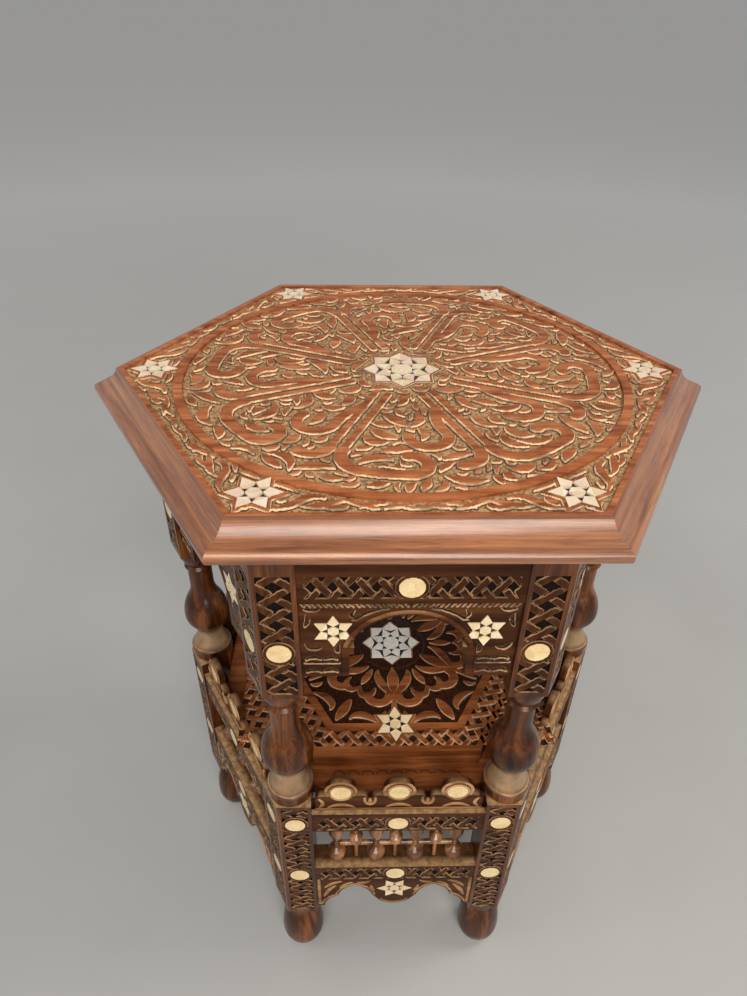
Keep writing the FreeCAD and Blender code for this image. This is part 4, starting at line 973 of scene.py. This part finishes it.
def rope_arch(springing):
    """A twisted rope that stands on the raised band of the arch. It is made straight, then bent."""
    radius, centre = arch_circle(ARCH_HALF_WIDTH + ARCHIVOLT_WIDTH / 2, ARCH_RISE + ARCHIVOLT_WIDTH / 2)
    half_run = math.acos(-centre / radius) * radius
    half = ROPE_HALF_WIDTH
    run, offset = grid((-half_run, -half), (half_run, half), ROPE_STEPS)
    twist = 1 - ROPE_TWIST + ROPE_TWIST * np.cos(2 * math.pi * (run / ROPE_PITCH + offset / (2 * half)))
    height = ROPE_RISE * np.sqrt(np.clip(1 - (offset / half) ** 2, 0, 1)) * twist
    height[0] = height[-1] = HIDDEN_RIM
    height[:, 0] = height[:, -1] = HIDDEN_RIM
    mesh = relief_mesh("arch_rope", run, offset, height, -height, rope_wood, Matrix.Identity(4))
    points = np.zeros(len(mesh.vertices) * 3)
    mesh.vertices.foreach_get("co", points)
    flat = points.reshape(-1, 3)
    angle = flat[:, 0] / MM / radius
    reach = radius * MM - flat[:, 1]
    middle = (springing + centre) * MM
    bent = np.stack([reach * np.sin(angle), reach * np.cos(angle) + middle, flat[:, 2]], -1)
    mesh.vertices.foreach_set("co", bent.reshape(-1))
    mesh.transform(on_face(panel_front, 0, panel_bottom))
    mesh.flip_normals()
    six_pieces("arch_rope", mesh)


# Carving that stands on a plain face: only the strokes themselves are made

APPLIED_STEP = 0.55
APPLIED_SLOPE = (0.5, -0.7)
APPLIED_SKIRT = 1.1


def applied_carving(name, strokes, place, low, high, material, rise):
    """Raised strokes on a face, with their feet just under it. Low and high are corners of their grid."""
    x, y = grid(low, high, APPLIED_STEP)
    distance = edge_distance(x, y, strokes)
    height = (rise - HIDDEN_RIM) * smooth(*APPLIED_SLOPE, distance) + HIDDEN_RIM - SHEET_LIFT
    six_pieces(name, relief_mesh(name, x, y, height, distance, material, place, distance < APPLIED_SKIRT))


# Galleries: an edge and a ring on each lobe, and crescents. The strokes are given from the middle of a lobe,
# from a valley or from an end, above the gallery's foot.
LOBE_SPACING = 43.8
LOBE_CENTRE_HEIGHT = 23.5
LOBE_EDGE_RADIUS = 11.0
LOBE_EDGE_TURNS = (-25, 205)
GALLERY_DISC_HEIGHT = 22.0
GALLERY_RING_RADIUS = DISC_RADIUS + 1.0
GALLERY_LINE = 0.7
LOBE_CRESCENT = ([(-10, 3.6), (0, 10.5), (10, 3.6)], 0.5, 1.5, 0.5)
VALLEY_CUP = ([(-4, 15.5), (-5.5, 5), (5.5, 5), (4, 15.5)], 0.7, 1.3, 0.7)
VALLEY_BUD = ([(0, 14), (0, 10)], 0.6, 1.3, 0.6)
END_CRESCENT = ([(0, 14), (-5, 8), (0, 4)], 0.6, 1.3, 0.6)
END_CRESCENT_INSET = 6.0
FOOT_LINE_INSET = 4.0
FOOT_LINE_HEIGHT = 1.6
FOOT_LINE_HALF_WIDTH = 0.8
GALLERY_GRID_INSET = 2.0
GALLERY_GRID_HEIGHT = 36.0
GALLERY_RISE = 0.8


def carve_galleries():
    base = middle_rail_top
    strokes = []
    for x in (-LOBE_SPACING, 0, LOBE_SPACING):
        strokes += [
            arc_stroke(x, base + LOBE_CENTRE_HEIGHT, LOBE_EDGE_RADIUS, LOBE_EDGE_TURNS, GALLERY_LINE),
            arc_stroke(x, base + GALLERY_DISC_HEIGHT, GALLERY_RING_RADIUS, (0, 360), GALLERY_LINE, 36),
            shifted(LOBE_CRESCENT, x, base),
        ]
    for hand in (-1, 1):
        strokes += [shifted(row, LOBE_SPACING / 2 * hand, base) for row in (VALLEY_CUP, VALLEY_BUD)]
        strokes.append(shifted(END_CRESCENT, (half_span - END_CRESCENT_INSET) * hand, base, hand))
    foot_end = half_span - FOOT_LINE_INSET
    foot_level = base + FOOT_LINE_HEIGHT
    strokes.append(straight([(-foot_end, foot_level), (foot_end, foot_level)], FOOT_LINE_HALF_WIDTH))
    reach = half_span - GALLERY_GRID_INSET
    applied_carving("gallery_carving", strokes, on_face(gallery_front), (-reach, base),
                    (reach, base + GALLERY_GRID_HEIGHT), worn_carving, GALLERY_RISE)


# Aprons: an edge along the arcs of the cusped outline, with start, end and radius, and leaves above it
APRON_ARCS = [
    ((19.0, 100.8), (32.3, 117.5), 24.0),
    ((32.3, 117.5), (48.0, 100.0), 20.0),
    ((48.0, 100.0), (60.0, 86.0), 20.0),
]
APRON_TIP_LEVEL = 85.5
APRON_TIP_RADIUS = 17.0
APRON_TIP_TURNS = (-90, -42)
APRON_EDGE_OFFSET = 2.0
APRON_EDGE_HALF_WIDTH = 0.8
APRON_SIDE_INSET = 2.2
APRON_SIDE_FOOT = 3.0
APRON_SIDE_DROP = 20.0
APRON_SIDE_HALF_WIDTH = 1.1
APRON_GRID_DROP = 19.0
APRON_RISE = 0.7
APRON_LEAVES = [
    ([(45, 124), (54, 122), (59, 114)], 0.5, 1.6, 0.5),
    ([(50, 117), (57, 110), (60, 99)], 0.5, 1.7, 0.5),
    ([(21, 124.5), (25, 120.5), (31, 122.0)], 0.5, 1.3, 0.5),
    ([(36, 122.0), (42, 120.5), (46, 113.5)], 0.5, 1.2, 0.5),
    ([(17, 108), (19.5, 111), (20, 116.0)], 0.5, 1.2, 0.5),
]
OUTLINE_POINTS = 14


def outline_stroke(start, end, radius):
    """The edge beside the outline's arc from start to end, whose centre lies to the right of that way."""
    start, end = np.array(start), np.array(end)
    run = end - start
    right = np.array([run[1], -run[0]]) / np.hypot(*run)
    centre = (start + end) / 2 + right * math.sqrt(radius**2 - run @ run / 4)
    spokes = np.linspace(0, 1, OUTLINE_POINTS)[:, None] * run + start - centre
    line = centre + spokes / np.hypot(spokes[:, :1], spokes[:, 1:]) * (radius + APRON_EDGE_OFFSET)
    return line, np.full(OUTLINE_POINTS, APRON_EDGE_HALF_WIDTH)


def carve_aprons():
    side = half_span - APRON_SIDE_INSET
    side_ends = [(side, apron_bottom + APRON_SIDE_FOOT), (side, apron_top - APRON_SIDE_DROP)]
    strokes = [outline_stroke(*row) for row in APRON_ARCS] + [tapered(*row) for row in APRON_LEAVES]
    strokes += [
        arc_stroke(0, APRON_TIP_LEVEL + APRON_TIP_RADIUS, APRON_TIP_RADIUS - APRON_EDGE_OFFSET,
                   APRON_TIP_TURNS, APRON_EDGE_HALF_WIDTH),
        straight(side_ends, APRON_SIDE_HALF_WIDTH),
    ]
    applied_carving("apron_carving", mirrored(strokes), on_face(rail_front), (-half_span, apron_bottom),
                    (half_span, apron_top - APRON_GRID_DROP), worn_carving, APRON_RISE)


# Shelf: leaf scrolls inside a plain band, a strap lattice round it, and crescents on the base board

SHELF_EDGE_WIDTH = 5.0
SHELF_LATTICE_WIDTH = 15.5
SHELF_BAND_WIDTH = 6.5
SHELF_STAR_RADIUS = 25.5
SHELF_STAR_COLLAR = 0.9
SHELF_RIM_STAR_RADIUS = 17.0
SHELF_RIM_STAR_INSET = 26.4
SHELF_STEP = 0.8
SHELF_PITCH = 13.6
SHELF_STRAP = 4.4
SHELF_WEAVE = 0.15
SHELF_BEVEL = 0.7
# A hooked leaf as shares of the field's apothem, as in the solid
SHELF_HOOK = ((0.67, 0.04), 5, [(0.105, 85), (0.105, 80)], 0.036)
# Leaves beside the middle of a side, as radius and degrees, with half widths
SHELF_LEAVES = [
    ([(31, 0), (44, 0), (57, 0)], 1.4, 5.0, 1.4),
    ([(60, 1.5), (52, 9), (44, 21), (35, 22)], 1.0, 3.8, 0.8),
    ([(62, 0), (84, 0)], 1.4, 2.2, 1.2),
    ([(90, 9), (82, 15), (84, 24), (92, 24)], 0.8, 3.4, 0.8),
    ([(97, 30), (86, 30), (75, 30)], 1.4, 4.4, 1.4),
    ([(58, 30), (70, 27), (66, 16), (55, 17)], 1.0, 3.2, 1.0),
    ([(36, 30), (46, 30), (55, 30)], 0.6, 3.2, 0.6),
    ([(86, 3), (83, 7), (77, 6)], 0.6, 2.2, 0.6),
]


def carve_shelf():
    lattice_outer = shelf_apothem - SHELF_EDGE_WIDTH
    lattice_inner = lattice_outer - SHELF_LATTICE_WIDTH
    field = lattice_inner - SHELF_BAND_WIDTH
    corner = lattice_outer / COS30
    x, y = grid((-corner, -lattice_outer), (corner, lattice_outer), SHELF_STEP)
    reach = hexagon_reach(x, y)
    sector_x, sector_y = folded(y, -x, SIDES)
    leaves = rays(SHELF_LEAVES) + [bent_stroke(field, *SHELF_HOOK)]
    distance = edge_distance(sector_x, np.abs(sector_y), leaves)
    height = carve_depth(distance, SHELF_BEVEL)
    from_middle = sector_x - (lattice_outer + lattice_inner) / 2
    straps, strap_edges = strap_lattice(sector_y, from_middle, SHELF_PITCH, SHELF_LATTICE_WIDTH, SHELF_STRAP,
                                        RELIEF_DEPTH, SHELF_WEAVE)
    on_band = reach > field + 1
    height = np.where(on_band, straps, height)
    distance = np.where(on_band, strap_edges, distance)
    on_boss = np.hypot(x, y) < SHELF_STAR_RADIUS + BOSS_MARGIN
    height = np.where(on_boss, BOSS_HEIGHT, height)
    from_star = star_reach(x, y, SHELF_STAR_RADIUS, ROUNDEL_PARTS)
    height, distance = seat_star(height, distance, from_star, collar=SHELF_STAR_COLLAR)
    rim_y = SHELF_RIM_STAR_INSET - shelf_apothem
    from_rim_star = star_reach(x, y - rim_y, SHELF_RIM_STAR_RADIUS, SIDES, 90)
    height, distance = seat_star(height, distance, from_rim_star)
    shown = (reach < field + SHEET_OVERLAP) | (reach > lattice_inner - SHEET_OVERLAP)
    mesh = sunk_relief("shelf_carving", x, y, height, distance, RELIEF_DEPTH, shelf_carving,
                       lying(shelf_top - RELIEF_DEPTH), shown)
    add_piece("shelf_carving", mesh)


BASE_MARKS = 9
BASE_MARK_SPACING = 11.5
BASE_MARK_APOTHEM = 127.0
BASE_MARK_RADIUS = 5.0
BASE_MARK_TURNS = (25, 155)
BASE_MARK_HALF_WIDTH = 0.7
BASE_MARK_RISE = 0.4
# How far the marks' grid reaches in front of their centres, and behind these
BASE_GRID_REACH = (4.0, 8.0)


def mark_base_board():
    """A row of small crescents along each side of the shelf's base board."""
    places = (np.arange(BASE_MARKS) - (BASE_MARKS - 1) / 2) * BASE_MARK_SPACING
    strokes = [arc_stroke(x, -BASE_MARK_APOTHEM, BASE_MARK_RADIUS, BASE_MARK_TURNS, BASE_MARK_HALF_WIDTH)
               for x in places]
    reach = places[-1] + BASE_MARK_SPACING
    before, behind = BASE_GRID_REACH
    low = (-reach, -BASE_MARK_APOTHEM - before)
    high = (reach, -BASE_MARK_APOTHEM + behind)
    applied_carving("base_board_carving", strokes, lying(base_board_top), low, high, rope_wood,
                    BASE_MARK_RISE)


# Stage, in metres: a plain pale floor, soft lamps and the camera

CAMERA_PLACE = (-0.0320, -0.4577, 0.7378)
CAMERA_RIGHT = (0.99971, -0.02058, 0.01284)
CAMERA_UP = (0.00161, 0.58423, 0.8116)
CAMERA_BACK = (-0.0242, -0.81134, 0.5841)
CAMERA_LENS = 25.71
FLOOR_HALF = 200.0
FLOOR_TONES = [(0.3, (0.43, 0.43, 0.425)), (0.7, (0.47, 0.47, 0.46))]
FLOOR_ROUGHNESS = 0.8
# The floor is paler away from the lamps, so that its far end stays a pale ground
FAR_FLOOR = (0.86, 0.87, 0.87)
FAR_REACH = (0.6, 3.0)
# The world overhead, its light at the horizon, and the pale ground that it shows there
SKY = (0.4, 0.39, 0.38)
SKY_HEIGHT = 0.8
HORIZON = (0.16, 0.16, 0.16)
BACKDROP = (0.5, 0.5, 0.49)
# Lamps: place, size, power and colour
LAMP_TARGET = (0, 0, 0.3)
LAMPS = {
    "key_lamp": ((1.4, 0.1, 1.9), 0.8, 14, (1.0, 0.95, 0.88)),
    "front_lamp": ((-0.1, -1.5, 1.75), 1.2, 22, (1.0, 0.96, 0.9)),
    "low_lamp": ((0.35, -1.5, 0.95), 0.7, 8, (1.0, 0.94, 0.86)),
    "fill_lamp": ((-1.6, -0.3, 1.3), 1.2, 5, (0.9, 0.95, 1.0)),
}


def add_floor():
    mesh = bpy.data.meshes.new("floor")
    corners = [(x * FLOOR_HALF, y * FLOOR_HALF, 0) for x, y in ((-1, -1), (1, -1), (1, 1), (-1, 1))]
    mesh.from_pydata(corners, [], [(0, 1, 2, 3)])
    material, tree = new_material("floor_paint")
    place = object_place(tree)
    tone = ramp(tree, noise(tree, place, scale=3.0), FLOOR_TONES)
    reach = node(tree, "VectorMath", operation="LENGTH")
    tree.links.new(place, reach.inputs[0])
    far = rescale(tree, reach.outputs["Value"], From_Min=FAR_REACH[0], From_Max=FAR_REACH[1])
    finish(tree, mix(tree, far, tone, FAR_FLOOR), FLOOR_ROUGHNESS)
    mesh.materials.append(material)
    floor = add_item("floor", mesh)


def add_world():
    world = bpy.data.worlds.new("studio")
    bpy.context.scene.world = world
    world.use_nodes = True
    tree = world.node_tree
    height = axis_part(tree, node(tree, "TexCoord").outputs["Generated"], "Z")
    light = ramp(tree, height, [(0.0, HORIZON), (SKY_HEIGHT, SKY)])
    backdrop = ramp(tree, height, [(0.0, BACKDROP), (SKY_HEIGHT, SKY)])
    path = node(tree, "LightPath").outputs
    seen = maths(tree, "MAXIMUM", path["Is Camera Ray"], path["Is Glossy Ray"])
    seen = maths(tree, "MAXIMUM", seen, path["Is Transmission Ray"])
    tree.links.new(mix(tree, seen, light, backdrop), tree.nodes["Background"].inputs["Color"])


def add_lamp(name, place, size, power, colour):
    lamp = bpy.data.lights.new(name, "AREA")
    lamp.shape = "DISK"
    lamp.size = size
    lamp.energy = power
    lamp.color = colour
    item = add_item(name, lamp)
    item.location = place
    item.rotation_euler = (Vector(LAMP_TARGET) - Vector(place)).to_track_quat("-Z", "Y").to_euler()


def add_camera():
    camera = bpy.data.cameras.new("camera")
    camera.lens = CAMERA_LENS
    item = add_item("camera", camera)
    columns = (CAMERA_RIGHT, CAMERA_UP, CAMERA_BACK)
    item.matrix_world = Matrix.Translation(CAMERA_PLACE) @ Matrix(columns).transposed().to_4x4()
    bpy.context.scene.camera = item


dress_solids()
carve_roundel()
carve_corners()
carve_case()
carve_arch_panels()
carve_galleries()
carve_aprons()
carve_shelf()
mark_base_board()
add_floor()
add_world()
for lamp_name, values in LAMPS.items():
    add_lamp(lamp_name, *values)
add_camera()
bpy.context.scene.view_settings.view_transform = "Standard"
